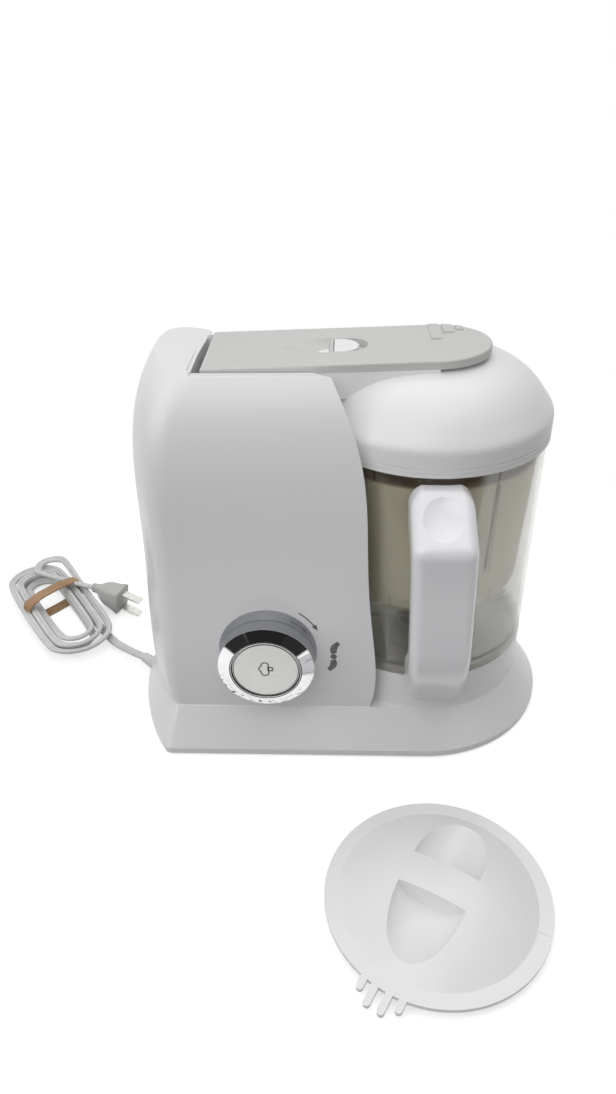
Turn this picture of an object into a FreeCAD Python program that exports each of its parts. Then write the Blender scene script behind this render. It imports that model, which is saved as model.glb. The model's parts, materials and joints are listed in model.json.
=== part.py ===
import FreeCAD, Part
import math
import os

V = FreeCAD.Vector
os.makedirs("parts", exist_ok=True)

# Driving dimensions, millimetres. The origin is on the floor under the middle of the base,
# +X runs from the housing to the jug, +Y runs to the back and the jug's handle faces -Y.

# Base and housing
base_half_depth = 79.5
base_left_x = -130.5
base_left_radius = 140.0
base_corner_radius = 6.0
base_height = 27.0
base_rim_height = 4.0
base_wall = 2.6
floor_gap = 1.5
housing_half_depth = 63.8
housing_left_x = -121.0
housing_left_radius = 110.0
housing_corner_radius = 11.0
housing_top = 238.0
housing_wall = 2.6
shell_seam_y = -13.0
ridge_half_width = 44.0
ridge_drop = 7.4
ridge_fall = 2.6
rear_fall = 3.4
shoulder_drop = 9.0
shoulder_rise = 0.33
shoulder_crease_y = -4.0
shoulder_front_lean = 0.035
shoulder_rear_lean = 0.085
plate_thickness = 2.0
foot_width = 6.0
foot_inset = 7.0
screw_radius = 1.4
screw_head_radius = 3.2
screw_inset = 27.0

# Jug, seat and basket
jug_x = 51.5
jug_radius = 65.0
jug_wall = 2.5
jug_bottom = 52.8
jug_rim = housing_top - 53.0
jug_floor_top = 60.0
jug_floor_thickness = 3.0
jug_clearance = 6.8
seat_top = 52.5
seat_radius = 64.7
seat_floor_top = 43.0
seat_wall = 3.0
basket_wall = 1.8
basket_gap = 1.4
basket_floor_top = 98.0
basket_drop = 9.5
basket_rib_deg = 30.5
handle_width = 33.0
handle_thickness = 12.0
handle_reach = 99.5
handle_top = jug_rim - 4.0
handle_crease = handle_top - 20.0
handle_low = 43.0
handle_lean = 4.0
handle_round = 6.0
thumb_size = (15.0, 18.0, 6.0)
thumb_depth = 1.6

# Lid, arm and hinge
lid_gap = 0.5
dome_wall = 2.5
dome_radius = 66.5
dome_top = jug_rim + 44.0
dome_side = 11.5
dome_lines = (2.2, 4.6)
arm_half_width = 30.0
arm_left_x = -72.5
arm_top_at_origin = dome_top + 3.0
arm_tilt_deg = 1.6
arm_thickness = 4.5
arm_pads = ((49.5, 6.0, 4.0), (57.0, 6.0, 14.0), (64.5, 4.0, 18.0))
pad_inset = 1.4
pad_height = 0.7
slot_gap = 4.5
hinge_x = -54.5
hinge_z = arm_top_at_origin - 12.5
hinge_pin_radius = 2.5
running_gap = 0.05
knuckle_radius = 6.0
knuckle_half_length = 23.5
lug_gap = 0.4
channel_gap = 1.2
deck_top = housing_top - 25.4
well_floor = deck_top - 17.1
deck_wall = 2.0
latch_left_x = -3.5
latch_length = 14.0
latch_half_width = 10.0
latch_travel = 4.0
latch_gap = 0.35

# Steam and drive
boiler_x = -41.0
boiler_radius = 17.5
boiler_wall = 1.0
boiler_shelf = 132.0
boiler_floor = boiler_shelf + 18.0
boiler_shoulder = deck_top - 22.6
boiler_neck_radius = 10.0
motor_x = -80.0
motor_radius = 29.0
motor_wall = 1.5
motor_height = 66.0
motor_shaft_radius = 3.0
drive_shaft_radius = 4.0
pulley_low = 9.0
pulley_height = 10.0
motor_pulley_radius = 7.0
driven_pulley_radius = 28.0
belt_thickness = 1.6
belt_gap = 0.3
blade_reach = 47.0

# Knob
knob_x = -41.5
knob_z = 71.0
knob_radius = 27.5
knob_front_y = -82.0
knob_bevel_depth = 2.7
button_radius = 19.4
button_gap = 0.45
button_travel = 2.5
panel_y = -63.4

# Loose mixing lid
mix_x = 50.2
mix_y = -177.5
mix_turn_deg = 62.0
mix_radius = 57.3
mix_rim_top = 7.5
mix_wall = 2.2
mix_skirt_radius = 49.5
mix_cap_radius = 50.0
mix_top = 21.5
mix_bar_half_width = 9.3
mix_scoop_half_width = 18.0
mix_scoop_reach = 52.0
mix_scoop_depth = 13.0
mix_tines = ((13.3, 62.3), (7.2, 67.5), (-0.1, 68.0), (-6.8, 63.4))
mix_tine_half_width = 1.8

# Mains lead, hank, plug and band
cord_diameter = 5.0
hank_x = -215.0
hank_y = 59.5
hank_axis_deg = -54.07
hank_step = 5.8
hank_first_offset = 19.0
hank_half_run = 35.0
hank_fan = 0.3
hank_last_radius = 11.5
hank_last_reach = 44.0
hank_tail_turn_deg = 33.0
hank_climbs = (3, 8)
hank_climb_run = 36.0
hank_low_z = 3.9
tail_length = 52.0
band_width = 9.0
band_thickness = 1.0
band_skew_deg = 14.0
band_along = -10.0
plug_length = 21.0
plug_half_height = 10.6
plug_tilt_deg = 12.0


def box(x0, x1, y0, y1, z0, z1):
    return Part.makeBox(x1 - x0, y1 - y0, z1 - z0, V(x0, y0, z0))


def rod(radius, start, end):
    """A cylinder between two points."""
    line = V(*end) - V(*start)
    return Part.makeCylinder(radius, line.Length, V(*start), line)


def cone(radius_a, radius_b, start, end):
    line = V(*end) - V(*start)
    return Part.makeCone(radius_a, radius_b, line.Length, V(*start), line)


def upright(radius, x, y, z0, z1):
    return Part.makeCylinder(radius, z1 - z0, V(x, y, z0))


def tube(outer, inner, x, y, z0, z1):
    return upright(outer, x, y, z0, z1).cut(upright(inner, x, y, z0 - 1, z1 + 1))


def polygon(points):
    corners = [V(*p) for p in points]
    return Part.makePolygon(corners + corners[:1])


def prism_y(points, y0, y1):
    """An outline in X and Z, extruded along Y."""
    face = Part.Face(polygon([(x, y0, z) for x, z in points]))
    return face.extrude(V(0, y1 - y0, 0))


def prism_x(points, x0, x1):
    """An outline in Y and Z, extruded along X."""
    face = Part.Face(polygon([(x0, y, z) for y, z in points]))
    return face.extrude(V(x1 - x0, 0, 0))


def turned(points, x, y):
    """A closed outline of radius and height, turned about a vertical axis."""
    face = Part.Face(polygon([(x + r, y, z) for r, z in points]))
    return face.revolve(V(x, y, 0), V(0, 0, 1), 360)


def arc(a, b, c):
    return Part.Arc(V(*a), V(*b), V(*c)).toShape()


def line(a, b):
    return Part.LineSegment(V(*a), V(*b)).toShape()


def left_end(half_depth, left_x, left_radius, corner, z):
    """Edges of the bowed left end with its two rounded corners, and where they meet the sides."""
    centre_x = left_x + left_radius
    corner_y = half_depth - corner
    reach = left_radius - corner
    corner_x = centre_x - math.sqrt(reach ** 2 - corner_y ** 2)
    swing = math.atan2(corner_y, centre_x - corner_x)
    touch_x = centre_x - left_radius * math.cos(swing)
    touch_y = left_radius * math.sin(swing)
    middle = (math.pi / 2 + swing) / 2
    bulge_x = corner_x - corner * math.cos(middle)
    bulge_y = corner_y + corner * math.sin(middle)
    edges = [
        arc((corner_x, -half_depth, z), (bulge_x, -bulge_y, z), (touch_x, -touch_y, z)),
        arc((touch_x, -touch_y, z), (left_x, 0, z), (touch_x, touch_y, z)),
        arc((touch_x, touch_y, z), (bulge_x, bulge_y, z), (corner_x, half_depth, z)),
    ]
    return edges, corner_x


def base_outline(inset, z, half_depth=base_half_depth, left_x=base_left_x, left_radius=base_left_radius):
    """The base's plan: a bowed left end and a half round right end about the jug."""
    half = half_depth - inset
    end, corner_x = left_end(half, left_x + inset, left_radius - inset, base_corner_radius, z)
    edges = [line((jug_x, -half, z), (corner_x, -half, z))] + end
    edges.append(line((corner_x, half, z), (jug_x, half, z)))
    edges.append(arc((jug_x, half, z), (jug_x + half, 0, z), (jug_x, -half, z)))
    return Part.Wire(edges)


def top_outline(inset, z):
    return base_outline(inset, z, housing_half_depth + 0.9, housing_left_x, housing_left_radius)


def housing_outline(inset, z, corner=housing_corner_radius):
    """The housing's plan, running on into the jug's space, where it is cut away."""
    half = housing_half_depth - inset
    end, corner_x = left_end(half, housing_left_x + inset, housing_left_radius - inset, corner, z)
    edges = [line((jug_x, -half, z), (corner_x, -half, z))] + end
    edges.append(line((corner_x, half, z), (jug_x, half, z)))
    edges.append(line((jug_x, half, z), (jug_x, -half, z)))
    return Part.Wire(edges)


def face_way(face):
    """A face's outward direction at the middle of its range."""
    u0, u1, v0, v1 = face.ParameterRange
    return face.normalAt((u0 + u1) / 2, (v0 + v1) / 2)


def plan_slab(wire, height):
    return Part.Face(wire).extrude(V(0, 0, height))


# How far the housing's sides have drawn in at each share of its height, and how much its corners have opened.
side_profile = [
    (0.0, 0.0, 0.0), (0.35, 0.6, 0.0), (0.6, 2.0, 1.0), (0.78, 4.6, 4.0), (0.87, 9.0, 9.0),
    (0.93, 14.2, 14.0), (1.0, 24.0, 20.0),
]


def housing_block(inset, top):
    height = top - base_height
    sections = [
        housing_outline(inset + drawn, base_height + share * height, housing_corner_radius + opened)
        for share, drawn, opened in side_profile]
    return Part.makeLoft(sections, True, False)


def jug_space(radius, z0=base_height - 10, z1=housing_top + 20):
    return upright(radius, jug_x, 0, z0, z1)


def make_base():
    rim = plan_slab(base_outline(0, floor_gap), base_rim_height)
    skirt_low = floor_gap + base_rim_height
    skirt = Part.makeLoft([base_outline(0, skirt_low), top_outline(0, base_height)], True, True)
    hollow_low = plan_slab(base_outline(base_wall, floor_gap - 1), base_rim_height + 1)
    deck_low = base_height - base_wall
    hollow_high = Part.makeLoft(
        [base_outline(base_wall, skirt_low), top_outline(base_wall, deck_low)], True, True)
    shell = rim.fuse(skirt).cut(hollow_low.fuse(hollow_high))
    plate_top = floor_gap + 0.5 + plate_thickness
    for x, y in screw_places():
        boss = upright(screw_radius + 3, x, y, plate_top, deck_low + 0.5)
        shell = shell.fuse(boss).cut(upright(screw_radius + 0.1, x, y, 0, plate_top + 11))
    shell = shell.cut(upright(motor_shaft_radius + 7, motor_x, 0, 5, base_height + 1))
    shell = shell.cut(upright(drive_shaft_radius + 8, jug_x, 0, 5, base_height + 1))
    return shell.cut(gland_hole()).removeSplitter()


def screw_places():
    """Two screws near each end of the base and two at its middle, well inside the sloping skirt."""
    half = base_half_depth - screw_inset
    left = base_left_x + screw_inset + 8
    right = jug_x + half * math.cos(math.radians(45))
    return [(x, side * y) for side in (-1, 1) for x, y in (
        (left, half - 6), (0, half), (right, half * math.sin(math.radians(45))))]


def make_bottom_plate():
    low = floor_gap + 0.5
    plate = plan_slab(base_outline(base_wall + 0.4, low), plate_thickness)
    for x, y in screw_places():
        plate = plate.cut(upright(screw_head_radius + 0.2, x, y, low - 1, low + plate_thickness + 1))
    return plate


def make_foot_ring():
    height = floor_gap + 0.5
    outer = plan_slab(base_outline(foot_inset, 0), height)
    inner = plan_slab(base_outline(foot_inset + foot_width, -1), height + 2)
    return outer.cut(inner)


def make_screws():
    low = floor_gap + 0.5
    screws = []
    for x, y in screw_places():
        head = upright(screw_head_radius, x, y, low + 0.2, low + plate_thickness)
        head = head.cut(box(x - 2, x + 2, y - 0.4, y + 0.4, low, low + 1.0))
        screws.append(head.fuse(upright(screw_radius, x, y, low + plate_thickness, low + 11)))
    return Part.makeCompound(screws)


def lid_channel():
    """Room for the lid's arm and neck over the housing."""
    half = arm_half_width + channel_gap + deck_wall
    left = arm_left_x - slot_gap - deck_wall
    return box(left, jug_x, -half, half, well_floor - deck_wall, housing_top + 20)


def ridge_cut(side):
    """The slope beside the arm's channel: up to the panel's ridge in front, down to the back behind."""
    edge = arm_half_width + channel_gap
    low_z = housing_top - ridge_drop - ridge_fall
    rise = ridge_fall if side < 0 else -rear_fall
    outer = ridge_half_width + 10
    outer_z = low_z + rise * (outer - edge) / (ridge_half_width - edge)
    left = arm_left_x - slot_gap
    high = housing_top + 20
    outline = [
        (side * outer, outer_z), (side * (edge - 1), low_z), (side * (edge - 1), high), (side * outer, high),
    ]
    return prism_x(outline, left, jug_x)


def shoulder_cut(lean):
    """A shallow facet that rises from the arm's slot to the housing's left end."""
    right = arm_left_x - slot_gap
    left = housing_left_x - 5
    reach = housing_half_depth
    corners = []
    for x, y in ((left, -reach), (right, -reach), (right, reach), (left, reach)):
        z = housing_top - shoulder_drop + shoulder_rise * (right - x) - lean * (y - shoulder_crease_y)
        corners.append((x, y, z))
    return Part.Face(polygon(corners)).extrude(V(0, 0, 60))


def top_cut():
    facets = shoulder_cut(shoulder_front_lean).fuse(shoulder_cut(shoulder_rear_lean))
    return facets.fuse(ridge_cut(1)).fuse(ridge_cut(-1))


def housing_shell():
    outer = housing_block(0, housing_top)
    outer = outer.cut(jug_space(jug_radius + jug_clearance)).cut(top_cut())
    inner = housing_block(housing_wall, housing_top - housing_wall)
    inner = inner.cut(jug_space(jug_radius + jug_clearance + housing_wall))
    inner = inner.cut(top_cut().translated(V(0, 0, -housing_wall)))
    floor_open = plan_slab(housing_outline(housing_wall, base_height - 1), 2)
    floor_open = floor_open.cut(jug_space(jug_radius + jug_clearance + housing_wall))
    return outer.cut(inner.fuse(floor_open)).cut(lid_channel())


def seam_half(front):
    reach = 200.0
    if front:
        return box(-reach, reach, -reach, shell_seam_y, 0, housing_top + 20)
    return box(-reach, reach, shell_seam_y, reach, 0, housing_top + 20)


def make_shells():
    shell = housing_shell()
    knob_hole = rod(knob_radius - 10.5, (knob_x, panel_y - 10, knob_z), (knob_x, panel_y + 10, knob_z))
    front = shell.common(seam_half(True)).cut(knob_hole)
    rear = shell.common(seam_half(False))
    return front, rear


def make_lid_deck():
    """The pan under the arm, with the hinge well, the two hinge lugs and the water opening."""
    half = arm_half_width + channel_gap
    left = arm_left_x - slot_gap
    step_x = hinge_x - 1.5
    top = housing_top - 9.0
    outside = [
        (left - deck_wall, well_floor - deck_wall), (step_x + deck_wall, well_floor - deck_wall),
        (step_x + deck_wall, deck_top - deck_wall), (0, deck_top - deck_wall),
        (0, top), (left - deck_wall, top),
    ]
    inside = [
        (left, well_floor), (step_x, well_floor), (step_x, deck_top), (1, deck_top),
        (1, top + 1), (left, top + 1),
    ]
    pan = prism_y(outside, -half - deck_wall, half + deck_wall).cut(prism_y(inside, -half, half))
    pan = pan.cut(jug_space(jug_radius + jug_clearance))
    pan = pan.cut(top_cut())
    for side in (-1, 1):
        inner_y = side * (knuckle_half_length + lug_gap)
        low, high = sorted((inner_y, side * half))
        lug = box(hinge_x - 5, hinge_x + 5, low, high, well_floor - 1, hinge_z)
        lug = lug.fuse(rod(5, (hinge_x, low, hinge_z), (hinge_x, high, hinge_z)))
        pan = pan.fuse(lug)
    pan = pan.cut(rod(hinge_pin_radius, (hinge_x, -half, hinge_z), (hinge_x, half, hinge_z)))
    pan = pan.cut(upright(boiler_neck_radius, boiler_x, 0, deck_top - 10, deck_top + 5))
    return pan.removeSplitter()


def make_hinge_pin():
    half = arm_half_width + channel_gap
    return rod(hinge_pin_radius, (hinge_x, -half, hinge_z), (hinge_x, half, hinge_z))


# How far out the dome still is at each share of its rise.
dome_profile = [(0.0, 1.0), (0.22, 0.955), (0.44, 0.875), (0.70, 0.735), (0.88, 0.55), (0.97, 0.36)]


def dome_outline(inset):
    """The dome's rounded line from its upright side to the middle, drawn in by a wall."""
    side_top = jug_rim + lid_gap + dome_side
    rise = dome_top - side_top
    knots = []
    for t, s in dome_profile:
        knots.append(V(jug_x + dome_radius * s - inset, 0, side_top + rise * t - inset * t))
    crown = V(jug_x, 0, dome_top - inset)
    curve = Part.BSplineCurve()
    curve.interpolate(knots + [crown], InitialTangent=V(0, 0, 1), FinalTangent=V(-1, 0, 0))
    return curve.toShape(), side_top


def dome_solid(inset, low):
    curve, side_top = dome_outline(inset)
    radius = dome_radius - inset
    edges = [
        line((jug_x, 0, low), (jug_x + radius, 0, low)),
        line((jug_x + radius, 0, low), (jug_x + radius, 0, side_top)),
        curve,
        line((jug_x, 0, dome_top - inset), (jug_x, 0, low)),
    ]
    face = Part.Face(Part.Wire(edges))
    return face.revolve(V(jug_x, 0, 0), V(0, 0, 1), 360)


def arm_top(x):
    return arm_top_at_origin + math.tan(math.radians(arm_tilt_deg)) * x


def make_dome():
    rim_z = jug_rim + lid_gap
    outer = dome_solid(0, rim_z)
    inner = dome_solid(dome_wall, rim_z - 1)
    under_arm = arm_thickness
    wall_x = jug_x - dome_radius
    neck_low = deck_top + 1.6
    left = hinge_x - 8
    right = jug_x
    neck_outline = [
        (left, arm_top(left) - under_arm), (left, hinge_z + 2), (hinge_x + 6, neck_low),
        (jug_x - 30, neck_low), (right, dome_top - 6), (right, arm_top(right) - under_arm),
    ]
    neck = prism_y(neck_outline, -arm_half_width, arm_half_width)
    drop = box(wall_x - 10, jug_x - 30, -arm_half_width, arm_half_width, rim_z + 4, neck_low + 1)
    neck = neck.fuse(drop.common(jug_space(jug_radius + jug_clearance - 1.5)))
    neck = neck.cut(jug_space(dome_radius - dome_wall - 0.1, 0, dome_top - 16))
    knuckle_end = V(hinge_x, knuckle_half_length, hinge_z)
    knuckle = rod(knuckle_radius, (hinge_x, -knuckle_half_length, hinge_z), knuckle_end)
    lid = outer.fuse(neck).cut(inner).fuse(knuckle)
    for side in (-1, 1):
        start = (hinge_x, side * knuckle_half_length, hinge_z)
        end = (hinge_x, side * (arm_half_width + 5), hinge_z)
        lid = lid.cut(rod(5 + 0.7, start, end))
        low, high = sorted((side * knuckle_half_length, side * (arm_half_width + 5)))
        lid = lid.cut(box(left - 1, hinge_x + 5.7, low, high, hinge_z - 20, housing_top))
    bore = hinge_pin_radius + running_gap
    lid = lid.cut(rod(bore, (hinge_x, -40, hinge_z), (hinge_x, 40, hinge_z)))
    duct = box(boiler_x - 8, jug_x - 20, -9, 9, neck_low + 3, neck_low + 8.5)
    lid = lid.cut(duct).cut(upright(7, boiler_x, 0, neck_low - 5, neck_low + 5))
    for low in dome_lines:
        lid = lid.cut(tube(dome_radius + 1, dome_radius - 0.45, jug_x, 0, rim_z + low, rim_z + low + 0.5))
    return lid.cut(arm_blank(0)).removeSplitter()


def arm_blank(grow):
    """The arm's plate before its recesses: square at the hinge, half round over the jug, tilted."""
    half = arm_half_width + grow
    left = arm_left_x - grow
    wire = Part.Wire([
        line((left, -half, 0), (jug_x, -half, 0)),
        arc((jug_x, -half, 0), (jug_x + half, 0, 0), (jug_x, half, 0)),
        line((jug_x, half, 0), (left, half, 0)),
        line((left, half, 0), (left, -half, 0)),
    ])
    plate = Part.Face(wire).extrude(V(0, 0, arm_thickness))
    plate.translate(V(0, 0, arm_top_at_origin - arm_thickness))
    plate.rotate(V(0, 0, arm_top_at_origin), V(0, 1, 0), -arm_tilt_deg)
    return plate


def latch_slot():
    """A slot through the arm, round at the jug's end, in which the latch slides."""
    half = latch_half_width + latch_gap
    right = latch_left_x + latch_length + latch_travel + latch_gap + 0.5
    return latch_outline(latch_left_x, right, half, arm_top_at_origin - 30, arm_top_at_origin + 30)


def latch_outline(left, right, half, low, high):
    """An upright block, square on the left and round on the right."""
    block = box(left, right, -half, half, low, high)
    middle = right - half
    bulge = upright(half, middle, 0, low, high)
    if middle > left:
        bulge = bulge.fuse(box(left, middle, -half, half, low, high))
    return block.common(bulge)


def make_arm():
    plate = arm_blank(0)
    edges = [e for e in plate.Edges if abs(e.CenterOfMass.z - arm_top(e.CenterOfMass.x)) < 0.4]
    plate = plate.makeFillet(1.0, edges)
    scoop_start = (latch_left_x - 26, 0, arm_top(latch_left_x - 26) + latch_half_width + 4.0)
    scoop_end = (latch_left_x, 0, arm_top(latch_left_x) + latch_half_width - 2.8)
    plate = plate.cut(rod(latch_half_width + 4.0, scoop_start, scoop_end))
    plate = plate.cut(latch_slot())
    inside_edge = upright(arm_half_width - pad_inset, jug_x, 0, dome_top - 20, dome_top + 20)
    for left, width, low in arm_pads:
        top = arm_top(left + width / 2)
        pad = box(left, left + width, low, arm_half_width, top - 1.5, top + pad_height)
        plate = plate.fuse(pad.common(inside_edge))
    return plate.removeSplitter()


def make_latch():
    low = arm_top(latch_left_x) - arm_thickness + 0.6
    high = arm_top(latch_left_x) + 0.15
    right = latch_left_x + latch_length
    block = latch_outline(latch_left_x + latch_gap, right, latch_half_width, low, high).removeSplitter()
    top_edges = [e for e in block.Edges if abs(e.CenterOfMass.z - high) < 0.01]
    return block.makeFillet(0.7, top_edges)


def make_lid_seal():
    low = jug_rim + lid_gap - 2.6
    radius = jug_radius - jug_wall - 1.4
    return tube(radius, radius - 3, jug_x, 0, low, low + 2.6).fuse(
        tube(dome_radius - dome_wall, radius - 3, jug_x, 0, low + 2.6, low + 4.2)).removeSplitter()


def make_steam_seal():
    low = deck_top + 0.6
    return tube(boiler_neck_radius + 0.5, 7.2, boiler_x, 0, low, low + 1.0)


def make_jug():
    inner = jug_radius - jug_wall
    floor_low = jug_floor_top - jug_floor_thickness
    outline = [
        (drive_shaft_radius + 1 + running_gap, floor_low), (inner, floor_low), (inner, jug_bottom),
        (jug_radius, jug_bottom), (jug_radius, jug_rim), (inner, jug_rim), (inner, jug_floor_top),
        (drive_shaft_radius + 1 + running_gap, jug_floor_top),
    ]
    return turned(outline, jug_x, 0)


def bend(block, at, radius):
    """Round the edge of an upright or level block whose middle is level with two of a point's coordinates."""
    for edge in block.Edges:
        middle = edge.BoundBox.Center
        offsets = [abs(here - there) for here, there in zip(middle, at) if there is not None]
        if max(offsets) < 0.01:
            return block.makeFillet(radius, [edge])
    raise ValueError("no edge to round at " + str(at))


def make_handle():
    """A closed loop from the jug's rim down past its foot, with room for fingers behind it."""
    near = jug_radius - 0.6
    front = handle_reach
    inside = front - handle_thickness
    knee_z = handle_low + 40
    pad_back = near + 7
    outline = [
        (-near, handle_top), (-pad_back, handle_top), (-front, handle_crease), (-front + 1.5, knee_z),
        (-near - 11, handle_low), (-near - 5, handle_low), (-near - 2, jug_bottom + 3),
        (-near, jug_bottom + 3),
        (-near, jug_bottom + 14), (-inside, knee_z + 8), (-inside, handle_crease - 12),
        (-near, handle_crease - 1),
    ]
    half = handle_width / 2
    side = prism_x(outline, jug_x - half - 10, jug_x + half + 10)
    for y, z, radius in (
            (-front, handle_crease, 9.0), (-front + 1.5, knee_z, 60.0),
            (-inside, knee_z + 8, 16.0), (-inside, handle_crease - 12, 6.0)):
        side = bend(side, (None, y, z), radius)
    low_x = jug_x + handle_lean
    plan = [
        (low_x - half, handle_low - 1), (low_x + half, handle_low - 1),
        (jug_x + half, handle_top + 1), (jug_x - half, handle_top + 1),
    ]
    view = prism_y(plan, -front - 10, 0)
    for (x, z), radius in zip(plan, (13.0, 13.0, 11.0, 11.0)):
        view = bend(view, (x, None, z), radius)
    block = side.common(view).cut(jug_space(jug_radius, 0)).removeSplitter()
    facing = [face for face in block.Faces if face_way(face).y < -0.2]
    borders = [edge for face in facing for edge in face.Edges]
    rim = [e for e in borders if sum(e.isSame(other) for other in borders) == 1]
    block = block.makeFillet(handle_round, rim)
    thumb = Part.makeSphere(1.0)
    stretch = FreeCAD.Matrix()
    stretch.scale(*thumb_size)
    thumb = thumb.transformGeometry(stretch)
    slope = math.atan2(handle_top - handle_crease, front - pad_back)
    thumb.rotate(V(0, 0, 0), V(1, 0, 0), math.degrees(slope))
    lift = thumb_size[2] - thumb_depth
    thumb.translate(V(jug_x, -(pad_back + front) / 2 - lift * math.sin(slope) + 1.5,
                      (handle_top + handle_crease) / 2 + lift * math.cos(slope) + 1.0))
    return block.cut(thumb)


def make_basket():
    outer = jug_radius - jug_wall - basket_gap
    inner = outer - basket_wall
    floor_low = basket_floor_top - basket_wall
    draft = 4.0
    rim = jug_rim - basket_drop
    outline = [
        (0, floor_low), (outer - draft, floor_low), (outer, rim), (inner, rim),
        (inner - draft, basket_floor_top), (0, basket_floor_top),
    ]
    basket = turned(outline, jug_x, 0)
    for ring, count in ((14, 8), (28, 14), (42, 20)):
        for k in range(count):
            turn = 2 * math.pi * k / count
            x = jug_x + ring * math.cos(turn)
            y = ring * math.sin(turn)
            basket = basket.cut(upright(2.2, x, y, floor_low - 1, basket_floor_top + 1))
    scallops = 24
    for k in range(scallops):
        turn = 2 * math.pi * (k + 0.5) / scallops
        x = jug_x + (outer - draft) * math.cos(turn)
        y = (outer - draft) * math.sin(turn)
        basket = basket.cut(upright(1.3, x, y, floor_low - 1, floor_low + 6))
    for quarter in range(4):
        rib = prism_y([(inner + 0.6, rim - 1), (outer + 0.9, rim - 1), (outer - 2.2, rim - 58)], -0.6, 0.6)
        rib.rotate(V(0, 0, 0), V(0, 0, 1), basket_rib_deg - 90 + 90 * quarter)
        rib.translate(V(jug_x, 0, 0))
        basket = basket.fuse(rib)
    return basket.removeSplitter()


def dog_lugs(turn_deg, z0, z1):
    """Two lugs, forty degrees wide, on opposite sides of the drive's axis."""
    lugs = None
    for start in (turn_deg - 20, turn_deg + 160):
        lug = Part.makeCylinder(11, z1 - z0, V(jug_x, 0, z0), V(0, 0, 1), 40)
        lug.rotate(V(jug_x, 0, 0), V(0, 0, 1), start)
        lug = lug.cut(upright(6, jug_x, 0, z0 - 1, z1 + 1))
        lugs = lug if lugs is None else lugs.fuse(lug)
    return lugs


def make_coupling():
    plate = upright(11, jug_x, 0, 46, 49)
    return plate.fuse(dog_lugs(0, 48.5, 53.5)).removeSplitter()


def make_blade_hub():
    floor_low = jug_floor_top - jug_floor_thickness
    hub = upright(11, jug_x, 0, 54.4, floor_low - 0.5)
    hub = hub.fuse(dog_lugs(90, 51, 55))
    hub = hub.fuse(upright(drive_shaft_radius + 1, jug_x, 0, floor_low - 1, jug_floor_top + 2))
    cap = cone(10, 6.5, (jug_x, 0, jug_floor_top + 0.5), (jug_x, 0, jug_floor_top + 18))
    return hub.fuse(cap).removeSplitter()


def make_blades():
    """Two swept wings with a ground edge, one set lower than the other."""
    wings = []
    for turn, low, lift in ((25, jug_floor_top + 4, 10.0), (205, jug_floor_top + 9, 16.0)):
        blade = Part.Face(Part.Wire([
            line((6.0, -7.0, 0), (blade_reach * 0.7, -8.0, 0)),
            arc((blade_reach * 0.7, -8.0, 0), (blade_reach * 0.93, -2.0, 0), (blade_reach, 9.0, 0)),
            arc((blade_reach, 9.0, 0), (blade_reach * 0.6, 4.5, 0), (6.0, 6.0, 0)),
            line((6.0, 6.0, 0), (6.0, -7.0, 0)),
        ])).extrude(V(0, 0, 1.2))
        blade.rotate(V(0, 0, 0), V(0, 1, 0), -lift * 0.5)
        blade.rotate(V(0, 0, 0), V(0, 0, 1), turn)
        blade.translate(V(jug_x, 0, low))
        wings.append(blade.cut(make_blade_hub()))
    return Part.makeCompound(wings)


def make_seat():
    low = base_height
    wall = seat_radius - seat_wall
    floor_low = seat_floor_top - 3
    bore = drive_shaft_radius + running_gap + 3
    outline = [
        (12, low), (14, low), (14, floor_low), (wall, floor_low), (wall, low), (seat_radius, low),
        (seat_radius, seat_top), (wall, seat_top), (wall, seat_floor_top), (bore, seat_floor_top),
        (bore, floor_low - 4), (12, floor_low - 4),
    ]
    return turned(outline, jug_x, 0)


def make_drive():
    shaft = upright(drive_shaft_radius, jug_x, 0, 6, 46)
    low, high = pulley_low, pulley_low + pulley_height
    pulley = pulley_shape(jug_x, driven_pulley_radius, drive_shaft_radius, low, high)
    bush_low = seat_floor_top - 7
    bore = drive_shaft_radius + running_gap
    bush = tube(bore + 3, bore, jug_x, 0, bush_low, seat_floor_top)
    return shaft, pulley, bush


def pulley_shape(x, radius, bore, low, high):
    flange = radius + belt_thickness + 1.0
    body = upright(radius, x, 0, low, high)
    for z in (low, high - 1.2):
        body = body.fuse(upright(flange, x, 0, z, z + 1.2))
    return body.cut(upright(bore, x, 0, low - 1, high + 1)).removeSplitter()


def belt_loop(radius_a, radius_b, low, high):
    """The space inside a belt running round two pulleys."""
    span = jug_x - motor_x
    lean = math.asin((radius_b - radius_a) / span)
    up = V(-math.sin(lean), math.cos(lean), 0)
    a = V(motor_x, 0, low)
    b = V(jug_x, 0, low)
    down = V(up.x, -up.y, 0)
    wire = Part.Wire([
        line(a + up * radius_a, b + up * radius_b),
        Part.Arc(b + up * radius_b, b + V(radius_b, 0, 0), b + down * radius_b).toShape(),
        line(b + down * radius_b, a + down * radius_a),
        Part.Arc(a + down * radius_a, a - V(radius_a, 0, 0), a + up * radius_a).toShape(),
    ])
    return Part.Face(wire).extrude(V(0, 0, high - low))


def make_belt():
    low, high = pulley_low + 2, pulley_low + pulley_height - 2
    small = motor_pulley_radius + belt_gap
    large = driven_pulley_radius + belt_gap
    outer = belt_loop(small + belt_thickness, large + belt_thickness, low, high)
    return outer.cut(belt_loop(small, large, low - 1, high + 1))


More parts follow.
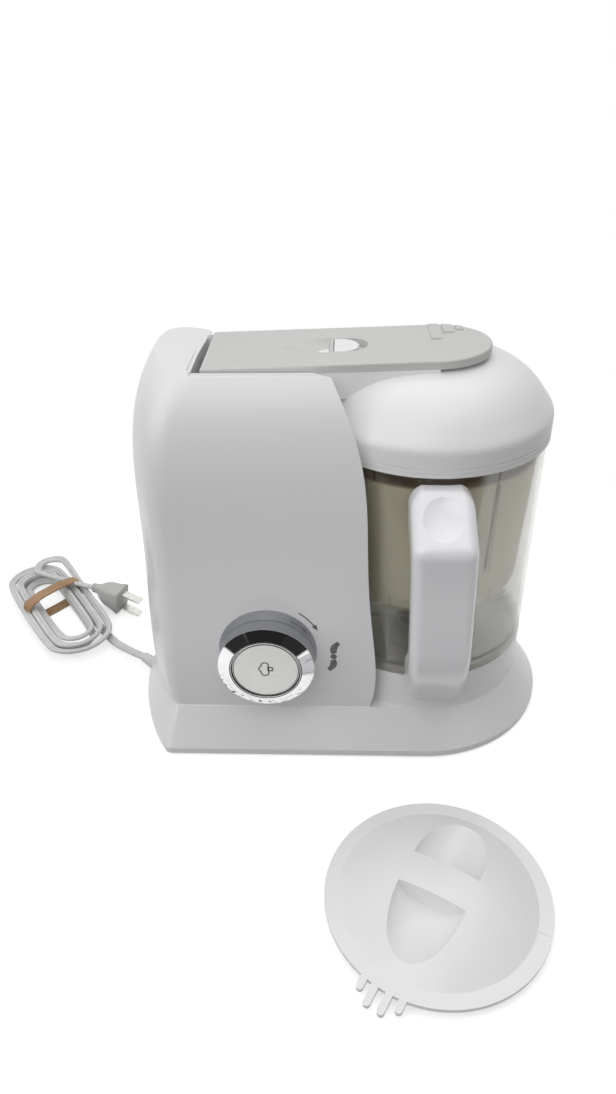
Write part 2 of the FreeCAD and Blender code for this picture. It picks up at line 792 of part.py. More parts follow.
def make_motor():
    low = base_height + 3
    high = low + motor_height
    bore = motor_shaft_radius + running_gap
    mount = tube(motor_radius + 6, motor_shaft_radius + 7, motor_x, 0, base_height, low)
    can = upright(motor_radius, motor_x, 0, low, high)
    can = can.cut(upright(motor_radius - motor_wall, motor_x, 0, low + 3, high + 1))
    can = can.cut(upright(bore, motor_x, 0, low - 1, low + 4))
    bell = upright(motor_radius, motor_x, 0, high, high + 3).fuse(upright(9, motor_x, 0, high + 2, high + 7))
    bell = bell.cut(upright(bore, motor_x, 0, high - 1, high + 8)).removeSplitter()
    shaft = upright(motor_shaft_radius, motor_x, 0, pulley_low - 2, high + 6)
    core = upright(motor_radius - 9, motor_x, 0, low + 10, low + 44)
    slots = 12
    for k in range(slots):
        turn = 2 * math.pi * k / slots
        x = motor_x + (motor_radius - 9) * math.cos(turn)
        y = (motor_radius - 9) * math.sin(turn)
        core = core.cut(upright(2.2, x, y, low, high))
    commutator = upright(9, motor_x, 0, low + 49, low + 59)
    rotor = shaft.fuse(core).fuse(commutator).removeSplitter()
    magnets = tube(motor_radius - motor_wall, motor_radius - 7.5, motor_x, 0, low + 8, low + 46)
    brush_low = low + 51
    brushes = Part.makeCompound([
        box(x - 8.5, x + 8.5, -3.5, 3.5, brush_low, brush_low + 6) for x in (motor_x - 18.5, motor_x + 18.5)])
    pulley_high = pulley_low + pulley_height
    pulley = pulley_shape(motor_x, motor_pulley_radius, motor_shaft_radius, pulley_low, pulley_high)
    return mount, can, bell, rotor, magnets, brushes, pulley


def make_shelf():
    """A floor across the inside of the housing, under the water cup."""
    room = housing_block(housing_wall + 0.05, housing_top - housing_wall)
    room = room.cut(jug_space(jug_radius + jug_clearance + housing_wall + 0.05))
    half = base_half_depth
    return room.common(box(base_left_x, jug_x, -half, half, boiler_shelf, boiler_shelf + 3))


def make_boiler():
    """The steel water well: a cup under a conical shoulder, its neck, and the skirt that it stands on."""
    low = boiler_shelf + 3
    inner = boiler_radius - boiler_wall
    neck_in = boiler_neck_radius - boiler_wall
    shoulder_top = boiler_shoulder + 3
    outline = [
        (0, boiler_floor), (boiler_radius, boiler_floor), (boiler_radius, boiler_shoulder),
        (boiler_neck_radius, shoulder_top), (neck_in, shoulder_top), (neck_in, shoulder_top - 1),
        (inner, boiler_shoulder - 1), (inner, boiler_floor + 1.5), (0, boiler_floor + 1.5),
    ]
    cup = turned(outline, boiler_x, 0)
    neck = tube(boiler_neck_radius, neck_in, boiler_x, 0, shoulder_top, deck_top)
    skirt = tube(boiler_radius, inner, boiler_x, 0, low, boiler_floor)
    ring = Part.makeTorus(11, 2.6, V(boiler_x, 0, boiler_floor - 2.6))
    thermostat = upright(6.5, boiler_x, 0, boiler_floor - 5, boiler_floor)
    return cup, neck, skirt, ring, thermostat


def y_rod(radius, y0, y1):
    return rod(radius, (knob_x, y0, knob_z), (knob_x, y1, knob_z))


def make_knob():
    sleeve_out = knob_radius - 11.5
    stem = 6.0
    collar_front = panel_y - 7.0
    collar_back = (knob_x, panel_y + 0.8, knob_z)
    collar = cone(knob_radius + 1.5, knob_radius, collar_back, (knob_x, collar_front, knob_z))
    collar = collar.cut(y_rod(sleeve_out + 0.5, panel_y + 5, collar_front - 5))
    collar = collar.cut(housing_block(0, housing_top))
    web_back = collar_front - 0.4
    web_front = web_back - 3.0
    bevel_y = knob_front_y + knob_bevel_depth
    bevel_front = (knob_x, knob_front_y, knob_z)
    bevel = cone(knob_radius, button_radius + button_gap + 0.9, (knob_x, bevel_y, knob_z), bevel_front)
    bezel = y_rod(knob_radius, web_back, bevel_y).fuse(bevel)
    bezel = bezel.cut(y_rod(button_radius + button_gap, web_front, knob_front_y - 1))
    sleeve = y_rod(sleeve_out, web_back - 1, panel_y + 14)
    bezel = bezel.fuse(sleeve).cut(y_rod(stem + 0.4, knob_front_y, panel_y + 20)).removeSplitter()
    button_front = knob_front_y + 0.6
    button_back = web_front - button_travel - 0.4
    button = y_rod(button_radius, button_back, button_front)
    front_edges = [e for e in button.Edges if abs(e.CenterOfMass.y - button_front) < 0.01]
    button = button.makeFillet(0.8, front_edges)
    rod_end = panel_y + 16
    plunger = y_rod(stem, button_back, rod_end)
    switch_y = rod_end + button_travel + 0.6
    press_switch = box(knob_x - 9, knob_x + 9, switch_y, switch_y + 9, knob_z - 9, knob_z + 9)
    side = knob_x - sleeve_out - 1.0
    turn_switch = box(side - 13, side, panel_y + 4, switch_y + 9, knob_z - 11, knob_z + 11)
    board = box(side - 15, knob_x + 10, switch_y + 9, switch_y + 10.6, knob_z - 28, knob_z + 34)
    return collar, bezel, button, plunger, press_switch, turn_switch, board


def mix_cap(inset, radius, low):
    """A shallow cap of a ball over a round foot, drawn in by a wall."""
    rise = mix_top - mix_rim_top
    ball = (mix_cap_radius ** 2 + rise ** 2) / (2 * rise)
    cap = Part.makeSphere(ball - inset, V(0, 0, mix_top - ball))
    return cap.common(upright(radius, 0, 0, low, mix_top + 1))


def mix_scoops(grow):
    """The two finger scoops, each half a long bowl that ends at the bar's upright side."""
    scoops = None
    for side in (-1, 1):
        bowl = Part.makeSphere(1.0)
        stretch = FreeCAD.Matrix()
        stretch.scale(mix_scoop_reach + grow, mix_scoop_half_width + grow, mix_scoop_depth + grow)
        bowl = bowl.transformGeometry(stretch)
        edge = side * (mix_bar_half_width - grow)
        bowl.translate(V(side * mix_bar_half_width, 0, mix_top))
        low, high = sorted((edge, side * (mix_bar_half_width + mix_scoop_reach + 5)))
        half = mix_scoop_half_width + 5
        bowl = bowl.common(box(low, high, -half, half, 0, mix_top + 20))
        scoops = bowl if scoops is None else scoops.fuse(bowl)
    return scoops


def mix_tine(across, reach):
    """One tooth of the comb on the rim: a strip with a round tip."""
    low = mix_rim_top - mix_wall
    strip = box(-reach + mix_tine_half_width, -mix_cap_radius, across - mix_tine_half_width,
                across + mix_tine_half_width, low, mix_rim_top)
    tip = upright(mix_tine_half_width, -reach + mix_tine_half_width, across, low, mix_rim_top)
    return strip.fuse(tip)


def make_mixing_lid():
    """A flat rim with a comb, a skirt under it, and a domed middle with two scoops and a bar between them."""
    low = mix_rim_top - mix_wall
    lid = upright(mix_radius, 0, 0, low, mix_rim_top)
    lid = lid.fuse(upright(mix_skirt_radius, 0, 0, 0, low)).fuse(mix_cap(0, mix_cap_radius + 2, low))
    hollow = mix_cap(mix_wall, mix_skirt_radius - mix_wall, -1)
    lid = lid.cut(mix_scoops(0)).cut(hollow.cut(mix_scoops(mix_wall)))
    for across, reach in mix_tines:
        lid = lid.fuse(mix_tine(across, reach))
    mark = box(mix_cap_radius + 0.5, mix_radius - 1.0, -4.2, 4.2, mix_rim_top - 0.5, mix_rim_top + 1)
    mark.rotate(V(0, 0, 0), V(0, 0, 1), -26.5 - mix_turn_deg)
    lid = lid.cut(mark).removeSplitter()
    lid.rotate(V(0, 0, 0), V(0, 0, 1), mix_turn_deg)
    lid.translate(V(mix_x, mix_y, 0))
    return lid


# The lead's points, from the gland to where the hank's first run begins.
exit_turn_deg = 141.3
exit_point = V(-129.0, -4.2, 9.5)
exit_way = V(math.cos(math.radians(exit_turn_deg)), math.sin(math.radians(exit_turn_deg)), 0)
gland_out = 8.0
gland_in = 14.0
hank_along = V(math.cos(math.radians(hank_axis_deg)), math.sin(math.radians(hank_axis_deg)), 0)
hank_across = V(-hank_along.y, hank_along.x, 0)


def hank_point(along, across, z):
    return V(hank_x, hank_y, z) + hank_along * along + hank_across * across


def gland_hole():
    start = exit_point - exit_way * (gland_in + 1)
    end = exit_point + exit_way * (gland_out + 1)
    return rod(4.2, tuple(start), tuple(end))


def make_gland():
    inner = exit_point - exit_way * gland_in
    middle = exit_point - exit_way * 4
    outer = exit_point + exit_way * gland_out
    flange = exit_point - exit_way * (gland_in - 2)
    body = rod(4.2, tuple(inner), tuple(middle)).fuse(cone(4.2, 3.4, tuple(middle), tuple(outer)))
    return body.fuse(rod(5.0, tuple(inner), tuple(flange))).removeSplitter()


def round_route(points):
    """Straight runs joined by tangent arcs, each as large as its two runs allow."""
    edges = []
    radii = []
    last = points[0]
    for before, corner, after in zip(points, points[1:], points[2:]):
        a = (before - corner).normalize()
        b = (after - corner).normalize()
        run = min((before - corner).Length, (after - corner).Length)
        back = 0.45 * run
        turn = math.pi - a.getAngle(b)
        radii.append(back / math.tan(turn / 2))
        start = corner + a * back
        end = corner + b * back
        inward = (a + b).normalize()
        middle = corner + inward * (radii[-1] / math.cos(turn / 2) - radii[-1])
        edges.append(Part.LineSegment(last, start).toShape())
        edges.append(Part.Arc(start, middle, end).toShape())
        last = end
    edges.append(Part.LineSegment(last, points[-1]).toShape())
    return edges, radii


def sweep(edges, radius):
    wire = Part.Wire(edges)
    first = edges[0]
    way = first.tangentAt(first.FirstParameter)
    ring = Part.Wire(Part.makeCircle(radius, first.valueAt(first.FirstParameter), way))
    return wire.makePipeShell([ring], True, False)


def hank_runs():
    """Offsets of the runs: the loops spiral in on the floor, climb and spiral out on top."""
    half = hank_step / 2
    first = hank_first_offset
    offsets = [first - half * k for k in range(4)] + [first - half * (2 - k) for k in range(5)]
    inner_climb = hank_climbs[0]
    high = hank_low_z + hank_step
    return [(offset, hank_low_z if k <= inner_climb else high) for k, offset in enumerate(offsets)]


def hank_edges():
    """The hank's line, one half turn after each run, and the height of its last half turn."""
    runs = hank_runs()
    edges = []
    side = 1
    reach = hank_half_run
    for k, (offset, z) in enumerate(runs):
        heading = -side
        start = hank_point(-heading * reach, side * offset, z)
        rises = k in hank_climbs
        end_z = z + hank_step if rises else z
        last = k == len(runs) - 1
        radius = hank_last_radius if last else (offset + runs[k + 1][0]) / 2
        reach = hank_last_reach if last else hank_half_run + (radius - hank_last_radius) * hank_fan
        end = hank_point(heading * reach, side * offset, end_z)
        if rises:
            foot = start + hank_along * heading * (2 * reach - hank_climb_run)
            edges += [Part.LineSegment(start, foot).toShape()] + climb(foot, end)
        else:
            edges.append(Part.LineSegment(start, end).toShape())
        centre = side * (offset - radius)
        turn = 180.0 + hank_tail_turn_deg if last else 180.0
        edges.append(turn_edge(heading * reach, centre, radius, side, turn, end_z))
        side = -side
    return edges


def turn_edge(along, across, radius, side, turn_deg, z):
    """A turn at one end of the hank, anticlockwise from the side where its run ends."""
    points = []
    for share in (0.0, 0.5, 1.0):
        angle = math.radians(side * 90 + turn_deg * share)
        points.append(hank_point(along + radius * math.cos(angle), across + radius * math.sin(angle), z))
    return Part.Arc(*points).toShape()


def climb(start, end):
    """An S of two arcs that rises from one layer to the next along a run."""
    flat = V(end.x - start.x, end.y - start.y, 0)
    rise = end.z - start.z
    middle = (start + end) * 0.5
    radius = (flat.Length ** 2 + rise ** 2) / (4 * rise)
    sag = radius - math.sqrt(radius ** 2 - (flat.Length / 4) ** 2)
    quarter = start + flat * 0.25 + V(0, 0, sag)
    last_quarter = end - flat * 0.25 - V(0, 0, sag)
    return [Part.Arc(start, quarter, middle).toShape(), Part.Arc(middle, last_quarter, end).toShape()]


def least_gap(edges, diameter):
    """The least room between two stretches of one tube that are not neighbours along it."""
    points = []
    walked = 0.0
    step = 3.0
    for edge in edges:
        count = max(2, int(edge.Length / step))
        for place in edge.discretize(count + 1)[:-1]:
            points.append((walked, place))
            walked += edge.Length / count
    gap = 1e9
    for i, (far_a, a) in enumerate(points):
        for far_b, b in points[i + 1:]:
            if far_b - far_a > 4 * diameter:
                gap = min(gap, a.distanceToPoint(b))
    return gap - diameter


def make_cord():
    start = exit_point + exit_way * (gland_out + 0.5)
    first_z = hank_low_z
    hank = hank_edges()
    hank_start = hank[0].valueAt(hank[0].FirstParameter)
    lead_points = [start, V(-149.6, 11.7, 6.3), hank_start + hank_along * 17, hank_start]
    lead_points[2].z = first_z
    lead, lead_radii = round_route(lead_points)
    hank_end = hank[-1].valueAt(hank[-1].LastParameter)
    plug_back = hank_end + plug_way() * tail_length
    tail = [Part.LineSegment(hank_end, plug_back).toShape()]
    radius = cord_diameter / 2
    solids = [sweep(edges, radius) for edges in (lead, hank, tail)]
    for name, edges, solid in zip(("lead", "hank", "tail"), (lead, hank, tail), solids):
        length = sum(edge.Length for edge in edges)
        filled = solid.Volume / (math.pi * radius ** 2 * length)
        print(name, "length", round(length, 1), "volume over section times length", round(filled, 4))
    print("lead radii", [round(r, 1) for r in lead_radii])
    print("hank least gap to itself", round(least_gap(hank, cord_diameter), 2))
    return solids, plug_back


def plug_way():
    """The tail's heading, past the hank's long axis by the tail's turn."""
    heading = math.radians(hank_axis_deg + hank_tail_turn_deg)
    return V(math.cos(heading), math.sin(heading), 0)


def make_plug(back):
    """A moulded plug leaning down from the hank to the floor, with two flat blades."""
    way = plug_way()
    turn = math.degrees(math.atan2(way.y, way.x))
    back_half = 3.8
    plug_shift = back_half * math.sin(math.radians(plug_tilt_deg))
    sections = ((0, 3.6, back_half), (plug_length * 0.45, 7.4, plug_half_height * 0.8),
                (plug_length, 8.2, plug_half_height))
    grip = Part.makeLoft([
        polygon([(x, -half, -high), (x, half, -high), (x, half, high), (x, -half, high)])
        for x, half, high in sections], True, True)
    long_edges = [e for e in grip.Edges if e.BoundBox.XLength > 2]
    grip = grip.makeFillet(2.4, long_edges)
    blades = Part.makeCompound([
        box(plug_length, plug_length + 16, -3.2, 3.2, z - 0.75, z + 0.75) for z in (-6.35, 6.35)])
    for shape in (grip, blades):
        shape.rotate(V(0, 0, 0), V(0, 1, 0), plug_tilt_deg)
        shape.rotate(V(0, 0, 0), V(0, 0, 1), turn)
        shape.translate(back + way * plug_shift)
    return grip, blades


def make_band():
    """A flat rubber band round both layers of the hank, set a little askew."""
    radius = cord_diameter / 2
    runs = hank_runs()
    right = max(offset for offset, z in runs[0::2]) + radius
    left = max(offset for offset, z in runs[1::2]) + radius
    lean = math.cos(math.radians(band_skew_deg))
    spare = 1.2 + math.tan(math.radians(band_skew_deg)) * band_width / 2
    low = hank_low_z - radius - 0.4
    high = hank_low_z + 2 * hank_step + radius + 0.4
    inner = box(-band_width, band_width, -left / lean - spare, right / lean + spare, low, high)
    inner = inner.makeFillet(2.0, [e for e in inner.Edges if e.BoundBox.XLength > band_width])
    edge = band_thickness
    outer = box(-band_width / 2, band_width / 2, -left / lean - spare - edge, right / lean + spare + edge,
                low - edge, high + edge)
    long_edges = [e for e in outer.Edges if e.BoundBox.XLength > band_width - 0.1]
    ring = outer.makeFillet(3.0, long_edges).cut(inner)
    ring.rotate(V(0, 0, 0), V(0, 0, 1), hank_axis_deg + band_skew_deg)
    ring.translate(hank_point(band_along, 0, 0))
    return ring


def save(name, shape):
    shape.exportStep(os.path.join("parts", name + ".step"))


front_shell, rear_shell = make_shells()
drive_shaft, driven_pulley, shaft_bush = make_drive()
motor_mount, motor_can, motor_bell, motor_rotor, motor_magnets, motor_brushes, motor_pulley = make_motor()
boiler_cup, boiler_neck, boiler_skirt, heating_element, thermostat = make_boiler()
knob_collar, knob_bezel, steam_button, button_plunger, press_switch, turn_switch, control_board = make_knob()
(cord_lead, cord_hank, cord_tail), plug_back = make_cord()
plug_body, plug_blades = make_plug(plug_back)

nodes = {
    "base_plinth": make_base(),
    "bottom_plate": make_bottom_plate(),
    "foot_ring": make_foot_ring(),
    "plate_screws": make_screws(),
    "front_shell": front_shell,
    "rear_shell": rear_shell,
    "lid_deck": make_lid_deck(),
    "hinge_pin": make_hinge_pin(),
    "inner_shelf": make_shelf(),
    "boiler_cup": boiler_cup,
    "boiler_neck": boiler_neck,
    "boiler_skirt": boiler_skirt,
    "heating_element": heating_element,
    "thermostat": thermostat,
    "motor_mount": motor_mount,
    "motor_can": motor_can,
    "motor_bell": motor_bell,
    "motor_magnets": motor_magnets,
    "motor_brushes": motor_brushes,
    "motor_rotor": motor_rotor,
    "motor_pulley": motor_pulley,
    "drive_belt": make_belt(),
    "driven_pulley": driven_pulley,
    "drive_shaft": drive_shaft,
    "shaft_bush": shaft_bush,
    "drive_coupling": make_coupling(),
    "jug_seat": make_seat(),
    "jug_bowl": make_jug(),
    "jug_handle": make_handle(),
    "steam_basket": make_basket(),
    "blade_hub": make_blade_hub(),
    "blade_wings": make_blades(),
    "lid_dome": make_dome(),
    "lid_arm": make_arm(),
    "lid_seal": make_lid_seal(),
    "steam_seal": make_steam_seal(),
    "latch_slider": make_latch(),
    "knob_collar": knob_collar,
    "knob_bezel": knob_bezel,
    "steam_button": steam_button,
    "button_plunger": button_plunger,
    "press_switch": press_switch,
    "turn_switch": turn_switch,
    "control_board": control_board,
    "cord_gland": make_gland(),
    "cord_lead": cord_lead,
    "cord_hank": cord_hank,
    "cord_tail": cord_tail,
    "cord_band": make_band(),
    "plug_body": plug_body,
    "plug_blades": plug_blades,
    "mixing_lid": make_mixing_lid(),
}

for node_name, node_shape in nodes.items():
    save(node_name, node_shape)
    solids = node_shape.Solids
    size = node_shape.BoundBox
    print(node_name, len(solids), "solids", round(node_shape.Volume / 1000, 2), "cm3", node_shape.isValid(),
          [round(v, 1) for v in (size.XMin, size.XMax, size.YMin, size.YMax, size.ZMin, size.ZMax)])
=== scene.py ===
import json
import math

import bpy
from mathutils import Matrix, Vector
from mathutils.bvhtree import BVHTree


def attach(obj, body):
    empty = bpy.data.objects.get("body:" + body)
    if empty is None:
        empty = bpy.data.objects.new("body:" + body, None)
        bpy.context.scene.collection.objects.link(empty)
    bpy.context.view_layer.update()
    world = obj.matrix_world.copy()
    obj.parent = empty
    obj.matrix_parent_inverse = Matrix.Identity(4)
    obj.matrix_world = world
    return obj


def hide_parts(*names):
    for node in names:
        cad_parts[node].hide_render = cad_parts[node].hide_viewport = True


MM = 0.001
LEVEL_UP = Vector((0.0, 0.0, 1.0))

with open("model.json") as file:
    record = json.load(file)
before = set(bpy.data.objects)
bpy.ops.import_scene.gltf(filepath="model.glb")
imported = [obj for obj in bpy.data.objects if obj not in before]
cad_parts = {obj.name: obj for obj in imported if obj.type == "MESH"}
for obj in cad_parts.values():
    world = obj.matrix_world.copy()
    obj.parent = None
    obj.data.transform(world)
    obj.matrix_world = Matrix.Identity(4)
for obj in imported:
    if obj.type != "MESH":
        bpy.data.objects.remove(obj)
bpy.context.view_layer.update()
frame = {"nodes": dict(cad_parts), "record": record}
nodes = frame["nodes"]
scene = bpy.context.scene
scene.view_settings.view_transform = "Standard"


# Camera

CAMERA_AT = Vector((0.93, -430.85, 379.64)) * MM
PITCH = math.radians(32.793)
YAW = math.radians(-2.76)
ROLL = math.radians(1.313)
LENS = 26.86
SENSOR_WIDTH = 36.0
CLIP_START = 0.01


def make_camera():
    forward = Vector((math.sin(YAW) * math.cos(PITCH), math.cos(YAW) * math.cos(PITCH), -math.sin(PITCH)))
    level = Vector((math.cos(YAW), -math.sin(YAW), 0.0))
    down = forward.cross(level)
    right = level * math.cos(ROLL) + down * math.sin(ROLL)
    up = level * math.sin(ROLL) - down * math.cos(ROLL)
    data = bpy.data.cameras.new("camera")
    data.lens = LENS
    data.sensor_width = SENSOR_WIDTH
    data.clip_start = CLIP_START
    camera = bpy.data.objects.new("camera", data)
    camera.matrix_world = Matrix((
        (right.x, up.x, -forward.x, CAMERA_AT.x),
        (right.y, up.y, -forward.y, CAMERA_AT.y),
        (right.z, up.z, -forward.z, CAMERA_AT.z),
        (0.0, 0.0, 0.0, 1.0),
    ))
    scene.collection.objects.link(camera)
    scene.camera = camera


make_camera()


# Mesh helpers

def new_mesh(name, points, faces, smooth=True):
    mesh = bpy.data.meshes.new(name)
    mesh.from_pydata([tuple(p) for p in points], [], faces)
    mesh.update()
    if smooth:
        mesh.polygons.foreach_set("use_smooth", [True] * len(mesh.polygons))
    piece = bpy.data.objects.new(name, mesh)
    scene.collection.objects.link(piece)
    return piece


def ring_faces(rings, around, closed):
    """Quads between rings of points, with the last ring joined to the first where the loop closes."""
    faces = []
    spans = rings if closed else rings - 1
    for i in range(spans):
        a = i * around
        b = ((i + 1) % rings) * around
        for k in range(around):
            n = (k + 1) % around
            faces.append((a + k, a + n, b + n, b + k))
    return faces


def capped_faces(rings, around):
    faces = ring_faces(rings, around, False)
    faces.append(tuple(reversed(range(around))))
    faces.append(tuple((rings - 1) * around + k for k in range(around)))
    return faces


# Mains lead: sizes and places are in millimetres, the lead's length in metres

CORD_WIDTH = 5.6
CORE_RADIUS = 1.55
CORE_OUT = 1.25
CORE_POINTS = 11
GROOVE_OPEN = 0.08
ROUTE_STEPS = 8
ROUTE_ORDER = 3
EXIT_TURN = math.radians(141.3)
EXIT_WAY = Vector((math.cos(EXIT_TURN), math.sin(EXIT_TURN), 0.0))
EXIT_AT = Vector((-129.0, -4.2, 9.5))
GLAND_OUT = 8.0
LEAD_BEND = Vector((-149.6, 11.7, 6.3))
HANK_AT = Vector((-215.0, 59.5, 0.0))
HANK_TURN = math.radians(-54.07)
HANK_ALONG = Vector((math.cos(HANK_TURN), math.sin(HANK_TURN), 0.0))
HANK_ACROSS = Vector((-HANK_ALONG.y, HANK_ALONG.x, 0.0))
HANK_STEP = 5.8
HANK_FIRST = 19.0
HANK_HALF_RUN = 35.0
HANK_LEAD_IN = 17
HANK_FAN = 0.3
HANK_LAST_RADIUS = 11.5
HANK_LAST_REACH = 44.0
HANK_LOWER_RUNS = 4
HANK_UPPER_RUNS = 5
HANK_UPPER_INSET = 2
HANK_CLIMBS = (HANK_LOWER_RUNS - 1, HANK_LOWER_RUNS + HANK_UPPER_RUNS - 1)
HANK_CLIMB_RUN = 36.0
HANK_LOW = 3.9
TAIL_TURN_DEG = 33.0
TAIL_LENGTH = 52.0
TURN_POINTS = 6
ROLL_EASE = 0.06
ROLL_MEAN = 0.62
ROLL_SLOW = 0.30
ROLL_SLOW_RATE = 31.0
ROLL_QUICK = 0.12
ROLL_QUICK_RATE = 73.0


def hank_at(along, across, z):
    return HANK_AT + HANK_ALONG * along + HANK_ACROSS * across + Vector((0.0, 0.0, z))


def hank_runs():
    """Each straight run's distance from the hank's middle line, and its height, in two layers."""
    half = HANK_STEP / 2
    lower = [HANK_FIRST - half * k for k in range(HANK_LOWER_RUNS)]
    upper = [HANK_FIRST - half * (HANK_UPPER_INSET - k) for k in range(HANK_UPPER_RUNS)]
    high = HANK_LOW + HANK_STEP
    return [(offset, HANK_LOW) for offset in lower] + [(offset, high) for offset in upper]


def turn_points(along, across, radius, side, turn_deg, z):
    """Corners of the line round one end of the hank."""
    count = TURN_POINTS if turn_deg <= 180 else TURN_POINTS + 1
    step = math.radians(turn_deg) / count
    reach = radius / math.cos(step / 2)
    points = []
    for k in range(count):
        angle = math.radians(side * 90) + step * (k + 0.5)
        points.append(hank_at(along + reach * math.cos(angle), across + reach * math.sin(angle), z))
    return points


def cord_route():
    """From the housing to the hank, round it run by run, and on to the plug."""
    runs = hank_runs()
    start = hank_at(HANK_HALF_RUN, runs[0][0], HANK_LOW)
    points = [EXIT_AT + EXIT_WAY * GLAND_OUT, LEAD_BEND, start + HANK_ALONG * HANK_LEAD_IN]
    side = 1
    for k, (offset, z) in enumerate(runs):
        heading = -side
        last = k == len(runs) - 1
        radius = HANK_LAST_RADIUS if last else (offset + runs[k + 1][0]) / 2
        reach = HANK_LAST_REACH if last else HANK_HALF_RUN + (radius - HANK_LAST_RADIUS) * HANK_FAN
        if k in HANK_CLIMBS:
            points.append(hank_at(heading * (reach - HANK_CLIMB_RUN), side * offset, z))
            z += HANK_STEP
        turn = 180.0 + TAIL_TURN_DEG if last else 180.0
        points += turn_points(heading * reach, side * (offset - radius), radius, side, turn, z)
        side = -side
    end_angle = math.radians(-side * 90 + turn)
    along = heading * reach + radius * math.cos(end_angle)
    across = -side * (offset - radius) + radius * math.sin(end_angle)
    points.append(hank_at(along, across, z) + plug_way() * TAIL_LENGTH)
    return [p * MM for p in points]


def plug_way():
    heading = HANK_TURN + math.radians(TAIL_TURN_DEG)
    return Vector((math.cos(heading), math.sin(heading), 0.0))


def spline_points(route):
    """Points along the smooth line through the route."""
    data = bpy.data.curves.new("cord_route", "CURVE")
    data.dimensions = "3D"
    data.resolution_u = ROUTE_STEPS
    spline = data.splines.new("NURBS")
    spline.points.add(len(route) - 1)
    for place, point in zip(spline.points, route):
        place.co = (point.x, point.y, point.z, 1.0)
    spline.order_u = ROUTE_ORDER
    spline.use_endpoint_u = True
    guide = bpy.data.objects.new("cord_route", data)
    scene.collection.objects.link(guide)
    bpy.context.view_layer.update()
    mesh = bpy.data.meshes.new_from_object(guide)
    points = [v.co.copy() for v in mesh.vertices]
    bpy.data.objects.remove(guide)
    bpy.data.curves.remove(data)
    bpy.data.meshes.remove(mesh)
    return points


def twin_profile():
    """Two round cores side by side with a groove between them."""
    radius = CORE_RADIUS * MM
    out = CORE_OUT * MM
    wrap = math.acos(-out / radius) - GROOVE_OPEN
    profile = []
    for side in (1, -1):
        for k in range(CORE_POINTS):
            angle = -wrap + 2 * wrap * k / (CORE_POINTS - 1)
            profile.append((side * (out + radius * math.cos(angle)), side * radius * math.sin(angle)))
    return profile


def sweep_flat(name, points, profile, roll_at):
    """The profile carried along the points, kept upright and then rolled."""
    rings = []
    count = len(points)
    for i, point in enumerate(points):
        way = (points[min(i + 1, count - 1)] - points[max(i - 1, 0)]).normalized()
        side = way.cross(LEVEL_UP).normalized()
        up = side.cross(way)
        roll = roll_at(i / (count - 1))
        across = side * math.cos(roll) + up * math.sin(roll)
        rise = up * math.cos(roll) - side * math.sin(roll)
        rings += [point + across * a + rise * b for a, b in profile]
    return new_mesh(name, rings, capped_faces(count, len(profile)))


def cord_roll(share):
    """The flat lead rolls a little as it runs: flat at the housing, part on edge in the hank."""
    ease = min(1.0, share / ROLL_EASE)
    slow = ROLL_SLOW * math.sin(share * ROLL_SLOW_RATE)
    quick = ROLL_QUICK * math.sin(share * ROLL_QUICK_RATE)
    return ease * (ROLL_MEAN + slow + quick)


cord_path = spline_points(cord_route())
cord = sweep_flat("cord_line", cord_path, twin_profile(), cord_roll)


# Plug and rubber band on the lead

PLUG_BACK = cord_path[-1] / MM
PLUG_LENGTH = 21.0
PLUG_TILT = math.radians(12.0)
PLUG_SHIFT = 0.8

# Sections along the plug: distance, half width, half height, corner radius
PLUG_TAIL = (
    (-5.5, 2.3, 3.2, 2.1), (-5.0, 2.7, 3.6, 2.4), (-3.4, 2.7, 3.6, 2.4), (-3.2, 2.3, 3.2, 2.1),
    (-2.4, 2.3, 3.2, 2.1), (-2.2, 2.9, 3.8, 2.6), (-0.6, 3.0, 3.9, 2.7),
)
PLUG_BODY = (
    (1.2, 3.9, 4.6, 2.8), (3.4, 5.2, 6.3, 3.3), (6.4, 6.5, 7.7, 3.7), (10.0, 7.2, 8.6, 3.8),
    (13.5, 7.4, 9.1, 3.8), (17.0, 7.8, 9.9, 3.6), (PLUG_LENGTH - 1.4, 8.2, 10.5, 3.2),
    (PLUG_LENGTH - 0.4, 8.1, 10.4, 2.8), (PLUG_LENGTH, 7.6, 9.9, 2.4),
)
CORNER_POINTS = 5


def rounded_section(half_y, half_z, corner):
    points = []
    for cy, cz, start in ((1, 1, 0), (-1, 1, 90), (-1, -1, 180), (1, -1, 270)):
        for k in range(CORNER_POINTS):
            angle = math.radians(start + 90 * k / (CORNER_POINTS - 1))
            points.append((cy * (half_y - corner) + corner * math.cos(angle),
                           cz * (half_z - corner) + corner * math.sin(angle)))
    return points


def make_plug():
    """A moulded plug leaning down from the hank: a ribbed tail, a waist to grip and a blunt face."""
    way = plug_way()
    across = Vector((-way.y, way.x, 0.0))
    lean_way = way * math.cos(PLUG_TILT) - LEVEL_UP * math.sin(PLUG_TILT)
    lean_up = way * math.sin(PLUG_TILT) + LEVEL_UP * math.cos(PLUG_TILT)
    rings = []
    for sections, forward, up in ((PLUG_TAIL, way, LEVEL_UP), (PLUG_BODY, lean_way, lean_up)):
        for x, half_y, half_z, corner in sections:
            centre = PLUG_BACK + way * PLUG_SHIFT + forward * x
            section = rounded_section(half_y, half_z, corner)
            rings += [(centre + across * a + up * b) * MM for a, b in section]
    return new_mesh("plug_shell", rings, capped_faces(len(PLUG_TAIL) + len(PLUG_BODY), 4 * CORNER_POINTS))


BAND_ALONG = -10.0
BAND_SKEW = math.radians(14.0)
BAND_WIDTH = 9.0
BAND_THICKNESS = 0.9
BAND_SLACK = 1.6
BAND_LOW = 0.9
BAND_OVER = 2.0
BAND_SQUARENESS = 0.42
BAND_CURL = 0.35
BAND_AROUND = 72
BAND_CROSS = 7


def band_wave(angle):
    """How far the band strays along the hank as it goes round."""
    return 0.8 * math.sin(3 * angle + 0.6) + 0.4 * math.sin(7 * angle)


